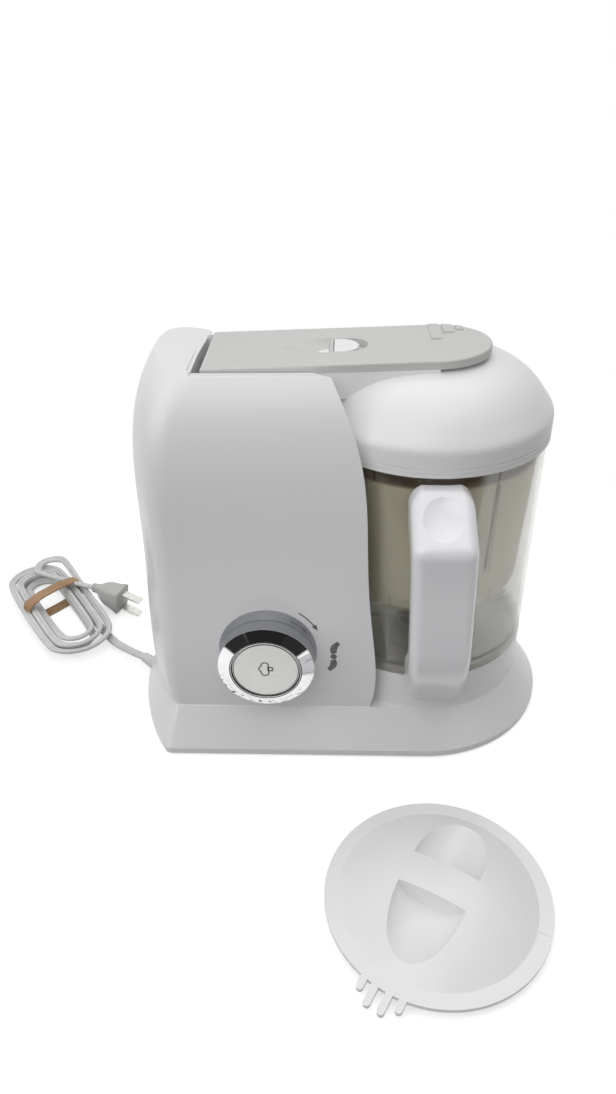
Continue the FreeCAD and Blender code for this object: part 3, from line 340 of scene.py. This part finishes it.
def make_band():
    """A flat band pulled round the hank, its edges curling in, a little wavy."""
    turn = HANK_TURN + BAND_SKEW
    lie = Vector((math.cos(turn), math.sin(turn), 0.0))
    across = Vector((-lie.y, lie.x, 0.0))
    centre = HANK_AT + HANK_ALONG * BAND_ALONG
    lean = math.cos(BAND_SKEW)
    right = (HANK_FIRST + CORD_WIDTH / 2) / lean + BAND_SLACK
    left = (HANK_FIRST - HANK_STEP / 2 + CORD_WIDTH / 2) / lean + BAND_SLACK
    middle = (right - left) / 2
    half = (right + left) / 2
    high = HANK_LOW + 2 * HANK_STEP + BAND_OVER
    points = []
    for i in range(BAND_AROUND):
        angle = 2 * math.pi * i / BAND_AROUND
        c = math.cos(angle)
        s = math.sin(angle)
        out = math.copysign(abs(c) ** BAND_SQUARENESS, c)
        rise = math.copysign(abs(s) ** BAND_SQUARENESS, s)
        y = middle + half * out
        z = (BAND_LOW + high) / 2 + (high - BAND_LOW) / 2 * rise
        normal = across * (c * (high - BAND_LOW)) + Vector((0.0, 0.0, s * half * 2))
        normal.normalize()
        wave = band_wave(angle)
        for side in (1, -1):
            for k in range(BAND_CROSS):
                share = side * (-1 + 2 * k / (BAND_CROSS - 1))
                reach = BAND_THICKNESS * (0.5 + 0.5 * side) - BAND_CURL * share * share
                place = centre + across * y + Vector((0.0, 0.0, z)) + lie * (share * BAND_WIDTH / 2 + wave)
                points.append((place + normal * reach) * MM)
    return new_mesh("cord_tie", points, ring_faces(BAND_AROUND, 2 * BAND_CROSS, True))


plug = make_plug()
band = make_band()


# Marks on the knob and the panel: places are in millimetres, x across and z up

KNOB_X = -41.5
KNOB_Z = 71.0
MARK_LIFT = 0.06
MARK_TIP = 0.05
IN_FRONT = -0.2
PANEL_ARROW_RADIUS = 32.7
PANEL_ARROW_DEG = (55.5, 27.0)
PANEL_ARROW_WIDTH = 0.75
PANEL_ARROW_HEAD = 3.6
BLADE_SIGN = (-3.2, 67.5)
BLADE_DOT = 1.9
WING_WIDTH = 4.0
WING_START = 2.3
WING_LENGTH = 7.6
PUFF_MIDDLE = (-0.6, 1.0)
PUFF_CIRCLES = ((-0.4, 3.5, 2.1), (-1.9, 1.0, 2.0), (-0.4, -1.6, 2.2), (0.0, 1.0, 1.5))
PUFF_WIDTH = 0.75
SPOUT_X = (-39.9, -37.6)
SPOUT_Z = (70.7, 73.2)
SPOUT_CORNER = 0.5
SPOUT_WIDTH = 0.85
COLLAR_ARROW_Y = -67.4
COLLAR_ARROW_DEG = (60.0, 27.0)
COLLAR_ARROW_WIDTH = 0.7
COLLAR_ARROW_HEAD = 2.6
COLLAR_FRONT_Y = -70.4
COLLAR_FRONT_RADIUS = 27.5
COLLAR_FLARE = 1.5
COLLAR_DEPTH = 7.8


def surface_of(node):
    mesh = nodes[node].data
    return BVHTree.FromPolygons([v.co for v in mesh.vertices], [tuple(p.vertices) for p in mesh.polygons])


def drop_on(surface, x, z, sink):
    start = Vector((x * MM, IN_FRONT, z * MM))
    hit = surface.ray_cast(start, Vector((0.0, 1.0, 0.0)))[0]
    return Vector((start.x, hit.y + sink * MM, start.z))


def strip_ends(count):
    return [(3, 2, 1, 0), tuple((count - 1) * 4 + k for k in range(4))]


def stroke_mark(name, surface, line, width, closed=False, taper=None):
    """A printed line laid on a face that looks to the front, as a thin raised strip."""
    count = len(line)
    points = []
    for i, (x, z) in enumerate(line):
        before = line[(i - 1) % count] if closed or i else line[0]
        after = line[(i + 1) % count] if closed or i < count - 1 else line[-1]
        dx = after[0] - before[0]
        dz = after[1] - before[1]
        size = math.hypot(dx, dz)
        half = width / 2 * (taper[i] if taper else 1.0)
        nx = -dz / size * half
        nz = dx / size * half
        for way, sink in ((1, -MARK_LIFT), (-1, -MARK_LIFT), (-1, MARK_LIFT), (1, MARK_LIFT)):
            points.append(drop_on(surface, x + way * nx, z + way * nz, sink))
    faces = ring_faces(count, 4, closed)
    if not closed:
        faces += strip_ends(count)
    return new_mesh(name, points, faces, smooth=False)


def arc_line(radius, start_deg, end_deg, count):
    line = []
    for k in range(count):
        angle = math.radians(start_deg + (end_deg - start_deg) * k / (count - 1))
        line.append((KNOB_X + radius * math.cos(angle), KNOB_Z + radius * math.sin(angle)))
    return line


def make_panel_arrow(surface):
    """A turning arrow concentric with the knob: a line that ends in a broad head."""
    count = 15
    body = 11
    head = [PANEL_ARROW_HEAD * (count - 1 - k) / (count - 1 - body) + MARK_TIP for k in range(body, count)]
    line = arc_line(PANEL_ARROW_RADIUS, *PANEL_ARROW_DEG, count)
    return stroke_mark("panel_arrow", surface, line, PANEL_ARROW_WIDTH, taper=[1.0] * body + head)


def make_collar_arrow():
    """A short arrow printed on the collar's flared side, just behind the bright bezel."""
    count = 13
    body = 9
    start_deg, span_deg = COLLAR_ARROW_DEG
    points = []
    for k in range(count):
        angle = math.radians(start_deg - span_deg * k / (count - 1))
        head = COLLAR_ARROW_HEAD * (count - 1 - k) / (count - 1 - body) + MARK_TIP
        width = COLLAR_ARROW_WIDTH if k < body else head
        for way, lift in ((-1, MARK_LIFT), (1, MARK_LIFT), (1, -MARK_LIFT), (-1, -MARK_LIFT)):
            y = COLLAR_ARROW_Y + way * width / 2
            out = COLLAR_FRONT_RADIUS + (y - COLLAR_FRONT_Y) * COLLAR_FLARE / COLLAR_DEPTH + lift
            points.append(Vector((KNOB_X + out * math.cos(angle), y, KNOB_Z + out * math.sin(angle))) * MM)
    return new_mesh("collar_arrow", points, ring_faces(count, 4, False) + strip_ends(count), smooth=False)


def puff_line():
    """The outline of a small cloud: the outermost of its circles at each bearing."""
    line = []
    count = 48
    for k in range(count):
        angle = 2 * math.pi * k / count
        c = math.cos(angle)
        s = math.sin(angle)
        far = 0.0
        for cx, cz, r in PUFF_CIRCLES:
            x = cx - PUFF_MIDDLE[0]
            z = cz - PUFF_MIDDLE[1]
            along = x * c + z * s
            inside = r * r - (x * x + z * z - along * along)
            if inside > 0:
                far = max(far, along + math.sqrt(inside))
        line.append((KNOB_X + PUFF_MIDDLE[0] + far * c, KNOB_Z + PUFF_MIDDLE[1] + far * s))
    return line


def spout_line():
    """The outline of a small rounded rectangle."""
    x0, x1 = SPOUT_X
    z0, z1 = SPOUT_Z
    corner = SPOUT_CORNER
    line = []
    for cx, cz, start in ((x1 - corner, z1 - corner, 0), (x0 + corner, z1 - corner, 90),
                          (x0 + corner, z0 + corner, 180), (x1 - corner, z0 + corner, 270)):
        for k in range(4):
            angle = math.radians(start + 30 * k)
            line.append((cx + corner * math.cos(angle), cz + corner * math.sin(angle)))
    return line


def blade_wing(name, surface, way):
    """One swept wing of the two-wing blade sign."""
    count = 24
    line = []
    taper = []
    for k in range(count):
        share = k / (count - 1)
        sweep = 0.4 + 2.6 * share ** 2.2 - 0.8 * math.sin(math.pi * share)
        line.append((BLADE_SIGN[0] + way * sweep, BLADE_SIGN[1] + way * (WING_START + WING_LENGTH * share)))
        taper.append(0.45 + 0.55 * math.sin(math.pi * (0.18 + 0.74 * share)))
    return stroke_mark(name, surface, line, WING_WIDTH, taper=taper)


def blade_dot(name, surface):
    """The round middle of the blade sign."""
    count = 12
    line = []
    taper = []
    for k in range(count):
        height = 1 - k / ((count - 1) / 2)
        line.append((BLADE_SIGN[0], BLADE_SIGN[1] + BLADE_DOT * height))
        taper.append(max(MARK_TIP, math.sqrt(max(0.0, 1 - height ** 2))))
    return stroke_mark(name, surface, line, BLADE_DOT * 2, taper=taper)


panel = surface_of("front_shell")
button_face = surface_of("steam_button")
machine_marks = [
    make_panel_arrow(panel),
    blade_wing("blade_sign_upper", panel, 1),
    blade_wing("blade_sign_lower", panel, -1),
    blade_dot("blade_sign_middle", panel),
]
button_marks = [
    stroke_mark("steam_sign_puff", button_face, puff_line(), PUFF_WIDTH, closed=True),
    stroke_mark("steam_sign_spout", button_face, spout_line(), SPOUT_WIDTH, closed=True),
]
machine_marks.append(make_collar_arrow())


# Materials: places and radii are in metres unless multiplied by MM

NOISE_LOW = 0.3
NOISE_HIGH = 0.7
RING_EDGE = 0.00015
FINE_BUMP = 0.0001
COLLAR_GREY = (0.40, 0.41, 0.43)
COLLAR_SHADE = (0.33, 0.34, 0.36)
WHITE = (0.87, 0.87, 0.875)
WHITE_SHADE = (0.845, 0.845, 0.853)
HANDLE_WHITE = (0.86, 0.855, 0.875)
HANDLE_SHADE = (0.84, 0.835, 0.86)
JUG_X = 51.5
JUG_DARK_Z = (0.055, 0.11)
BASKET_DARK_Z = (0.095, 0.14)
# Where the painted shadow lines on the basket's ribs lie: their turn, half width and the height they start
# from
RIB_TURN = math.radians(30.5)
RIB_SHADOW_HALF = (0.0006, 0.0009)
RIB_FOOT_Z = (0.117, 0.122)
BEVEL_BACK = -79.2
BEVEL_JOINT = (0.0200, 0.0208)
BUTTON_LINE = (0.0182, 0.0188)
CHIP_DROP = (-0.002, -0.015)
CHIP_REACH = (0.0225, 0.0255)


class Shade:
    """A shader built up by steps from the piece's own place in space."""

    def __init__(self, name):
        self.material = bpy.data.materials.new(name)
        self.material.use_nodes = True
        self.tree = self.material.node_tree
        self.tree.nodes.clear()
        self.shader = self.node("ShaderNodeBsdfPrincipled")
        end = self.node("ShaderNodeOutputMaterial")
        self.link(self.shader.outputs["BSDF"], end.inputs["Surface"])
        self.place = self.node("ShaderNodeTexCoord").outputs["Object"]

    def node(self, kind, **settings):
        made = self.tree.nodes.new(kind)
        for key, value in settings.items():
            setattr(made, key, value)
        return made

    def link(self, a, b):
        self.tree.links.new(a, b)

    def set(self, **values):
        for key, value in values.items():
            self.shader.inputs[key.replace("_", " ")].default_value = value

    def noise(self, scale, detail=3.0, roughness=0.55, stretch=None):
        made = self.node("ShaderNodeTexNoise")
        made.inputs["Scale"].default_value = scale
        made.inputs["Detail"].default_value = detail
        made.inputs["Roughness"].default_value = roughness
        source = self.place
        if stretch:
            mapping = self.node("ShaderNodeMapping")
            mapping.inputs["Scale"].default_value = stretch
            self.link(self.place, mapping.inputs["Vector"])
            source = mapping.outputs["Vector"]
        self.link(source, made.inputs["Vector"])
        return made.outputs["Fac"]

    def spread(self, value, low, high, to_low=0.0, to_high=1.0, smooth=False):
        made = self.node("ShaderNodeMapRange")
        if smooth:
            made.interpolation_type = "SMOOTHSTEP"
        for key, number in zip(("From Min", "From Max", "To Min", "To Max"), (low, high, to_low, to_high)):
            made.inputs[key].default_value = number
        self.link(value, made.inputs["Value"])
        return made.outputs["Result"]

    def math(self, kind, a, b=None):
        made = self.node("ShaderNodeMath", operation=kind)
        for socket, value in zip(made.inputs, (a, b)):
            if value is None:
                continue
            if isinstance(value, (int, float)):
                socket.default_value = value
            else:
                self.link(value, socket)
        return made.outputs["Value"]

    def times(self, a, b):
        return self.math("MULTIPLY", a, b)

    def part(self, letter):
        made = self.node("ShaderNodeSeparateXYZ")
        self.link(self.place, made.inputs["Vector"])
        return made.outputs[letter]

    def knob_height(self):
        """Height above the knob's axis."""
        return self.math("SUBTRACT", self.part("Z"), KNOB_Z * MM)

    def knob_reach(self):
        """Distance from the knob's axis."""
        across = self.math("SUBTRACT", self.part("X"), KNOB_X * MM)
        height = self.knob_height()
        square = self.math("ADD", self.times(across, across), self.times(height, height))
        return self.math("SQRT", square)

    def ring(self, reach, inner, outer):
        """A soft-edged ring between two radii."""
        rise = self.spread(reach, inner, inner + RING_EDGE)
        return self.times(rise, self.spread(reach, outer - RING_EDGE, outer, 1.0, 0.0))

    def mix(self, share, a, b):
        made = self.node("ShaderNodeMix", data_type="RGBA")
        self.link(share, made.inputs["Factor"])
        for index, value in ((6, a), (7, b)):
            if isinstance(value, tuple):
                made.inputs[index].default_value = value + (1.0,)
            else:
                self.link(value, made.inputs[index])
        return made.outputs[2]

    def drift(self, noise, light, dark):
        """A tone that wanders between two colours."""
        return self.mix(self.spread(noise, NOISE_LOW, NOISE_HIGH), light, dark)

    def colour(self, value):
        self.link(value, self.shader.inputs["Base Color"])

    def rough(self, value):
        self.link(value, self.shader.inputs["Roughness"])

    def gloss(self, noise, low, high):
        """A roughness that wanders between two values."""
        self.rough(self.spread(noise, NOISE_LOW, NOISE_HIGH, low, high))

    def bump(self, height, strength, distance=FINE_BUMP):
        made = self.node("ShaderNodeBump")
        made.inputs["Strength"].default_value = strength
        made.inputs["Distance"].default_value = distance
        self.link(height, made.inputs["Height"])
        self.link(made.outputs["Normal"], self.shader.inputs["Normal"])


def moulded(name, light, dark, rough, bump=0.12, coat=0.0):
    """Moulded plastic: a faint drift of tone, a fine skin and slightly uneven gloss."""
    shade = Shade(name)
    shade.colour(shade.drift(shade.noise(9.0, 4.0), light, dark))
    shade.gloss(shade.noise(60.0), rough - 0.015, rough + 0.02)
    shade.bump(shade.noise(900.0, 2.0), bump, 0.00012)
    if coat:
        shade.set(Coat_Weight=coat, Coat_Roughness=0.08)
    return shade


def metal(name, light, dark, rough, stretch):
    """Metal with fine drawn lines and uneven gloss."""
    shade = Shade(name)
    shade.set(Metallic=1.0)
    lines = shade.noise(260.0, 3.0, 0.6, stretch)
    shade.colour(shade.drift(lines, light, dark))
    shade.gloss(lines, rough - 0.05, rough + 0.07)
    shade.bump(lines, 0.08, 0.00008)
    return shade


def clear_jug():
    """Tinted clear plastic, a little hazy, darker towards its floor."""
    shade = Shade("clear_jug")
    shade.set(Transmission_Weight=0.9, IOR=1.46, Alpha=0.4)
    haze = shade.noise(30.0, 4.0)
    low = shade.spread(shade.part("Z"), *JUG_DARK_Z, 1.0, 0.0, True)
    tone = shade.mix(shade.spread(haze, 0.35, 0.7), (0.47, 0.455, 0.385), (0.42, 0.405, 0.335))
    shade.colour(shade.mix(shade.times(low, 0.25), tone, (0.36, 0.35, 0.30)))
    shade.rough(shade.spread(haze, 0.3, 0.75, 0.03, 0.09))
    shade.bump(shade.noise(420.0, 2.0), 0.03)
    return shade


def basket_rib_shadows(shade):
    """Painted shadow: four upright dark lines along the basket's ribs, a quarter turn apart."""
    across = shade.math("SUBTRACT", shade.part("X"), JUG_X * MM)
    deep = shade.part("Y")
    c = math.cos(RIB_TURN)
    s = math.sin(RIB_TURN)
    along = shade.math("ADD", shade.times(across, c), shade.times(deep, s))
    aside = shade.math("SUBTRACT", shade.times(deep, c), shade.times(across, s))
    off_rib = shade.math("MINIMUM", shade.math("ABSOLUTE", along), shade.math("ABSOLUTE", aside))
    return shade.times(shade.spread(off_rib, *RIB_SHADOW_HALF, 1.0, 0.0), shade.spread(shade.part("Z"), *RIB_FOOT_Z))


def cream_basket():
    """Cream plastic, darker towards the bottom, with painted shadow lines along its ribs."""
    shade = Shade("cream_basket")
    tone = shade.drift(shade.noise(14.0, 4.0), (0.83, 0.79, 0.63), (0.77, 0.73, 0.56))
    # The colour darkens towards the bottom of the basket.
    bottom_darkening = shade.spread(shade.part("Z"), *BASKET_DARK_Z, 1.0, 0.0, True)
    tone = shade.mix(shade.times(bottom_darkening, 0.35), tone, (0.62, 0.61, 0.47))
    # The near-black colour on the rib lines is painted shadow, as if the ribs were seen edge-on in shade.
    shade.colour(shade.mix(basket_rib_shadows(shade), tone, (0.16, 0.15, 0.12)))
    shade.gloss(shade.noise(70.0), 0.42, 0.56)
    shade.set(Subsurface_Weight=0.15, Subsurface_Scale=0.004)
    shade.bump(shade.noise(500.0, 2.0), 0.08)
    return shade


def worn_chrome():
    """Bright plating on a grey ring, with dark chips at the lower edge and a dark joint near the button."""
    shade = Shade("worn_chrome")
    shade.set(Metallic=1.0)
    reach = shade.knob_reach()
    chips = shade.spread(shade.noise(330.0, 4.0, 0.7), 0.565, 0.60)
    lower = shade.spread(shade.knob_height(), *CHIP_DROP, smooth=True)
    outer = shade.spread(reach, *CHIP_REACH, smooth=True)
    chips = shade.times(chips, shade.times(lower, outer))
    flaws = shade.math("MAXIMUM", shade.ring(reach, *BEVEL_JOINT), chips)
    bright = shade.drift(shade.noise(40.0), (0.80, 0.805, 0.81), (0.70, 0.705, 0.72))
    plated = shade.mix(flaws, bright, (0.04, 0.04, 0.04))
    side = shade.spread(shade.part("Y"), BEVEL_BACK * MM, (BEVEL_BACK + 0.3) * MM)
    shade.colour(shade.mix(side, plated, COLLAR_GREY))
    dull = shade.math("MAXIMUM", shade.times(side, 0.7), flaws)
    shade.rough(shade.spread(dull, 0.0, 1.0, 0.05, 0.5))
    skin = shade.times(shade.noise(240.0, 2.0), 0.2)
    shade.bump(shade.math("SUBTRACT", skin, flaws), 0.1, 0.0002)
    return shade


def brushed_button():
    """Brushed metal with a dark line round its edge."""
    shade = Shade("brushed_button")
    shade.set(Metallic=1.0)
    lines = shade.noise(260.0, 3.0, 0.6, (1.0, 1.0, 14.0))
    tone = shade.drift(lines, (0.60, 0.595, 0.58), (0.53, 0.525, 0.51))
    edge = shade.ring(shade.knob_reach(), *BUTTON_LINE)
    shade.colour(shade.mix(edge, tone, (0.05, 0.05, 0.05)))
    shade.gloss(lines, 0.33, 0.44)
    shade.bump(lines, 0.08, 0.00008)
    return shade


def lead_white():
    shade = Shade("lead_white")
    shade.colour(shade.drift(shade.noise(40.0, 4.0), (0.74, 0.745, 0.74), (0.64, 0.645, 0.64)))
    shade.gloss(shade.noise(150.0), 0.38, 0.52)
    shade.bump(shade.noise(700.0, 2.0), 0.12)
    return shade


def tan_band():
    """Matt tan rubber with creases, painted shade darkening their hollows."""
    shade = Shade("tan_band")
    drift = shade.noise(90.0, 4.0, 0.6)
    crease_relief_and_shade = shade.noise(160.0, 5.0, 0.65, (1.0, 4.0, 1.0))
    tone = shade.drift(drift, (0.46, 0.295, 0.165), (0.37, 0.225, 0.12))
    # The crease colour is painted shade: the hollows are drawn darker.
    shade.colour(shade.mix(shade.spread(crease_relief_and_shade, 0.62, 0.72, 0.0, 0.6), tone, (0.17, 0.10, 0.055)))
    shade.gloss(drift, 0.62, 0.78)
    shade.bump(crease_relief_and_shade, 0.35, 0.0003)
    return shade


def printed_grey():
    """Dark print, worn paler in places."""
    shade = Shade("printed_grey")
    worn = shade.noise(260.0, 4.0)
    shade.colour(shade.mix(shade.spread(worn, 0.35, 0.75), (0.135, 0.135, 0.14), (0.20, 0.20, 0.205)))
    shade.gloss(worn, 0.45, 0.6)
    shade.bump(worn, 0.05, 0.00005)
    return shade


materials = {
    "white_gloss": moulded("white_gloss", WHITE, WHITE_SHADE, 0.33, coat=0.15),
    "white_satin": moulded("white_satin", (0.86, 0.86, 0.86), (0.84, 0.84, 0.84), 0.36),
    "arm_grey": moulded("arm_grey", (0.60, 0.60, 0.585), (0.57, 0.57, 0.555), 0.46, bump=0.18),
    "clear_jug": clear_jug(),
    "basket_cream": cream_basket(),
    "handle_white": moulded("handle_white", HANDLE_WHITE, HANDLE_SHADE, 0.24, bump=0.05, coat=0.4),
    "chrome": worn_chrome(),
    "brushed_button": brushed_button(),
    "collar_grey": metal("collar_grey", COLLAR_GREY, COLLAR_SHADE, 0.38, (6.0, 1.0, 6.0)),
    "rubber_grey": moulded("rubber_grey", (0.10, 0.10, 0.105), (0.075, 0.075, 0.08), 0.7, bump=0.3),
    "seal_white": moulded("seal_white", (0.74, 0.74, 0.73), (0.68, 0.68, 0.67), 0.55, bump=0.2),
    "steel": metal("steel", (0.55, 0.55, 0.56), (0.44, 0.44, 0.45), 0.28, (1.0, 9.0, 1.0)),
    "dark_plastic": moulded("dark_plastic", (0.035, 0.035, 0.038), (0.026, 0.026, 0.028), 0.4),
    "board_green": moulded("board_green", (0.03, 0.13, 0.06), (0.02, 0.09, 0.04), 0.35),
    "brass": metal("brass", (0.66, 0.52, 0.27), (0.54, 0.41, 0.2), 0.3, (1.0, 1.0, 8.0)),
    "iron": metal("iron", (0.2, 0.2, 0.205), (0.14, 0.14, 0.145), 0.5, (1.0, 1.0, 3.0)),
    "belt_black": moulded("belt_black", (0.02, 0.02, 0.02), (0.014, 0.014, 0.014), 0.6, bump=0.3),
    "cord_white": lead_white(),
    "plug_grey": moulded("plug_grey", (0.60, 0.605, 0.585), (0.54, 0.545, 0.525), 0.42, bump=0.15),
    "band_tan": tan_band(),
    "inner_plastic": moulded("inner_plastic", (0.42, 0.42, 0.42), (0.37, 0.37, 0.37), 0.5),
}
mark_grey = printed_grey()
plug_metal = metal("plug_metal", (0.62, 0.61, 0.58), (0.5, 0.49, 0.46), 0.3, (1.0, 1.0, 8.0))


def dress(piece, shade):
    piece.data.materials.clear()
    piece.data.materials.append(shade.material)


for row in frame["record"]["subparts"]:
    dress(nodes[row["node"]], materials[row["material_slot"]])

dress(nodes["plug_blades"], plug_metal)
dress(cord, materials["cord_white"])
dress(plug, materials["plug_grey"])
dress(band, materials["band_tan"])
for mark in machine_marks + button_marks:
    dress(mark, mark_grey)


# What each piece rides on

for mark in machine_marks:
    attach(mark, "machine")
for mark in button_marks:
    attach(mark, "button")
for piece, slot in ((cord, "cord_white"), (plug, "plug_grey"), (band, "band_tan")):
    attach(piece, "machine")
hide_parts("cord_lead", "cord_hank", "cord_tail")
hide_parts("plug_body")
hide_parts("cord_band")


# Floor, world and lamps

FLOOR_HALF = 8.0
FLOOR_PAPER = 0.80
FLOOR_GLOW = 0.55
FLOOR_BOUNCE = 0.22
FLOOR_DARK = 0.03
FLOOR_MIDDLE = (-0.04, -0.06, 0.0)
FLOOR_FADE = (0.27, 0.48)
FLOOR_DARK_FROM = (-0.26, -0.30)
AMBIENT = 0.36
FLAG_WAY = (0.0, -0.94, 0.34)
FLAG_EDGE = (0.80, 0.88)
FLAG_LEVELS = (0.9, 0.02)

# Lamps: name, place, aim, size, power
LAMPS = (
    ("top_lamp", (0.15, 0.35, 1.5), (0.0, 0.0, 0.1), 1.5, 8.5),
    ("side_lamp", (-1.3, -0.7, 0.9), (0.0, 0.0, 0.12), 1.0, 4.6),
    ("front_lamp", (-0.1, -0.42, 0.58), (-0.03, -0.05, 0.2), 0.4, 0.92),
)


class Stage:
    """The node tree of the floor or the world, built up by steps."""

    def __init__(self, owner):
        owner.use_nodes = True
        self.tree = owner.node_tree
        self.tree.nodes.clear()

    def node(self, kind, **settings):
        made = self.tree.nodes.new(kind)
        for key, value in settings.items():
            setattr(made, key, value)
        return made

    def link(self, a, b):
        self.tree.links.new(a, b)

    def math(self, operation, a, b):
        made = self.node("ShaderNodeMath", operation=operation)
        self.link(a, made.inputs[0])
        self.link(b, made.inputs[1])
        return made.outputs["Value"]

    def ease(self, value, edges, levels=(0.0, 1.0)):
        made = self.node("ShaderNodeMapRange", interpolation_type="SMOOTHSTEP")
        for key, number in zip(("From Min", "From Max", "To Min", "To Max"), edges + levels):
            made.inputs[key].default_value = number
        self.link(value, made.inputs["Value"])
        return made.outputs["Result"]

    def paper(self, tone):
        made = self.node("ShaderNodeBsdfDiffuse")
        made.inputs["Color"].default_value = (tone, tone, tone, 1.0)
        return made.outputs["BSDF"]

    def glow(self, strength):
        made = self.node("ShaderNodeEmission")
        made.inputs["Strength"].default_value = strength
        return made.outputs["Emission"]

    def blend(self, share, a, b):
        made = self.node("ShaderNodeMixShader")
        self.link(share, made.inputs["Fac"])
        self.link(a, made.inputs[1])
        self.link(b, made.inputs[2])
        return made.outputs["Shader"]

    def choose(self, share, b, a):
        """The level b where the share is 1, and a where it is 0."""
        made = self.node("ShaderNodeMix")
        self.link(share, made.inputs["Factor"])
        for socket, value in ((made.inputs["A"], a), (made.inputs["B"], b)):
            if isinstance(value, float):
                socket.default_value = value
            else:
                self.link(value, socket)
        return made.outputs["Result"]


def make_floor():
    """White paper: shadows near the object, plain white further out, dark in mirrors from the front on."""
    corners = [(-FLOOR_HALF, -FLOOR_HALF, 0), (FLOOR_HALF, -FLOOR_HALF, 0),
               (FLOOR_HALF, FLOOR_HALF, 0), (-FLOOR_HALF, FLOOR_HALF, 0)]
    floor = new_mesh("floor", corners, [(0, 1, 2, 3)], smooth=False)
    made = bpy.data.materials.new("floor")
    stage = Stage(made)
    rays = stage.node("ShaderNodeLightPath").outputs
    place = stage.node("ShaderNodeTexCoord").outputs["Object"]
    away = stage.node("ShaderNodeVectorMath", operation="DISTANCE")
    away.inputs[1].default_value = FLOOR_MIDDLE
    stage.link(place, away.inputs[0])
    axes = stage.node("ShaderNodeSeparateXYZ")
    stage.link(place, axes.inputs["Vector"])
    near = stage.node("ShaderNodeAddShader")
    stage.link(stage.paper(FLOOR_PAPER), near.inputs[0])
    stage.link(stage.glow(FLOOR_GLOW), near.inputs[1])
    far_off = stage.ease(away.outputs["Value"], FLOOR_FADE)
    shown = stage.blend(far_off, near.outputs["Shader"], stage.glow(1.0))
    seen = stage.math("MAXIMUM", rays["Is Glossy Ray"], rays["Is Transmission Ray"])
    seen = stage.math("MAXIMUM", rays["Is Camera Ray"], seen)
    surface = stage.blend(seen, stage.paper(FLOOR_BOUNCE), shown)
    in_front = stage.ease(axes.outputs["Y"], FLOOR_DARK_FROM)
    mirrored = stage.math("MULTIPLY", rays["Is Glossy Ray"], in_front)
    surface = stage.blend(mirrored, surface, stage.glow(FLOOR_DARK))
    end = stage.node("ShaderNodeOutputMaterial")
    stage.link(surface, end.inputs["Surface"])
    floor.data.materials.append(made)


def make_world():
    """Even white surroundings, with a dark flag in front that only mirrors show."""
    world = bpy.data.worlds.new("studio")
    scene.world = world
    stage = Stage(world)
    rays = stage.node("ShaderNodeLightPath").outputs
    flag = stage.node("ShaderNodeVectorMath", operation="DOT_PRODUCT")
    flag.inputs[1].default_value = FLAG_WAY
    stage.link(stage.node("ShaderNodeTexCoord").outputs["Generated"], flag.inputs[0])
    mirrored = stage.ease(flag.outputs["Value"], FLAG_EDGE, FLAG_LEVELS)
    level = stage.choose(rays["Is Glossy Ray"], mirrored, AMBIENT)
    level = stage.choose(rays["Is Transmission Ray"], 1.0, level)
    level = stage.choose(rays["Is Camera Ray"], 1.0, level)
    back = stage.node("ShaderNodeBackground")
    back.inputs["Color"].default_value = (1.0, 1.0, 1.0, 1.0)
    stage.link(level, back.inputs["Strength"])
    end = stage.node("ShaderNodeOutputWorld")
    stage.link(back.outputs["Background"], end.inputs["Surface"])


def make_lamp(name, place, aim, size, power):
    data = bpy.data.lights.new(name, "AREA")
    data.shape = "SQUARE"
    data.size = size
    data.energy = power
    lamp = bpy.data.objects.new(name, data)
    lamp.location = place
    lamp.rotation_euler = (Vector(aim) - Vector(place)).to_track_quat("-Z", "Y").to_euler()
    scene.collection.objects.link(lamp)


make_floor()
make_world()
for lamp_row in LAMPS:
    make_lamp(*lamp_row)
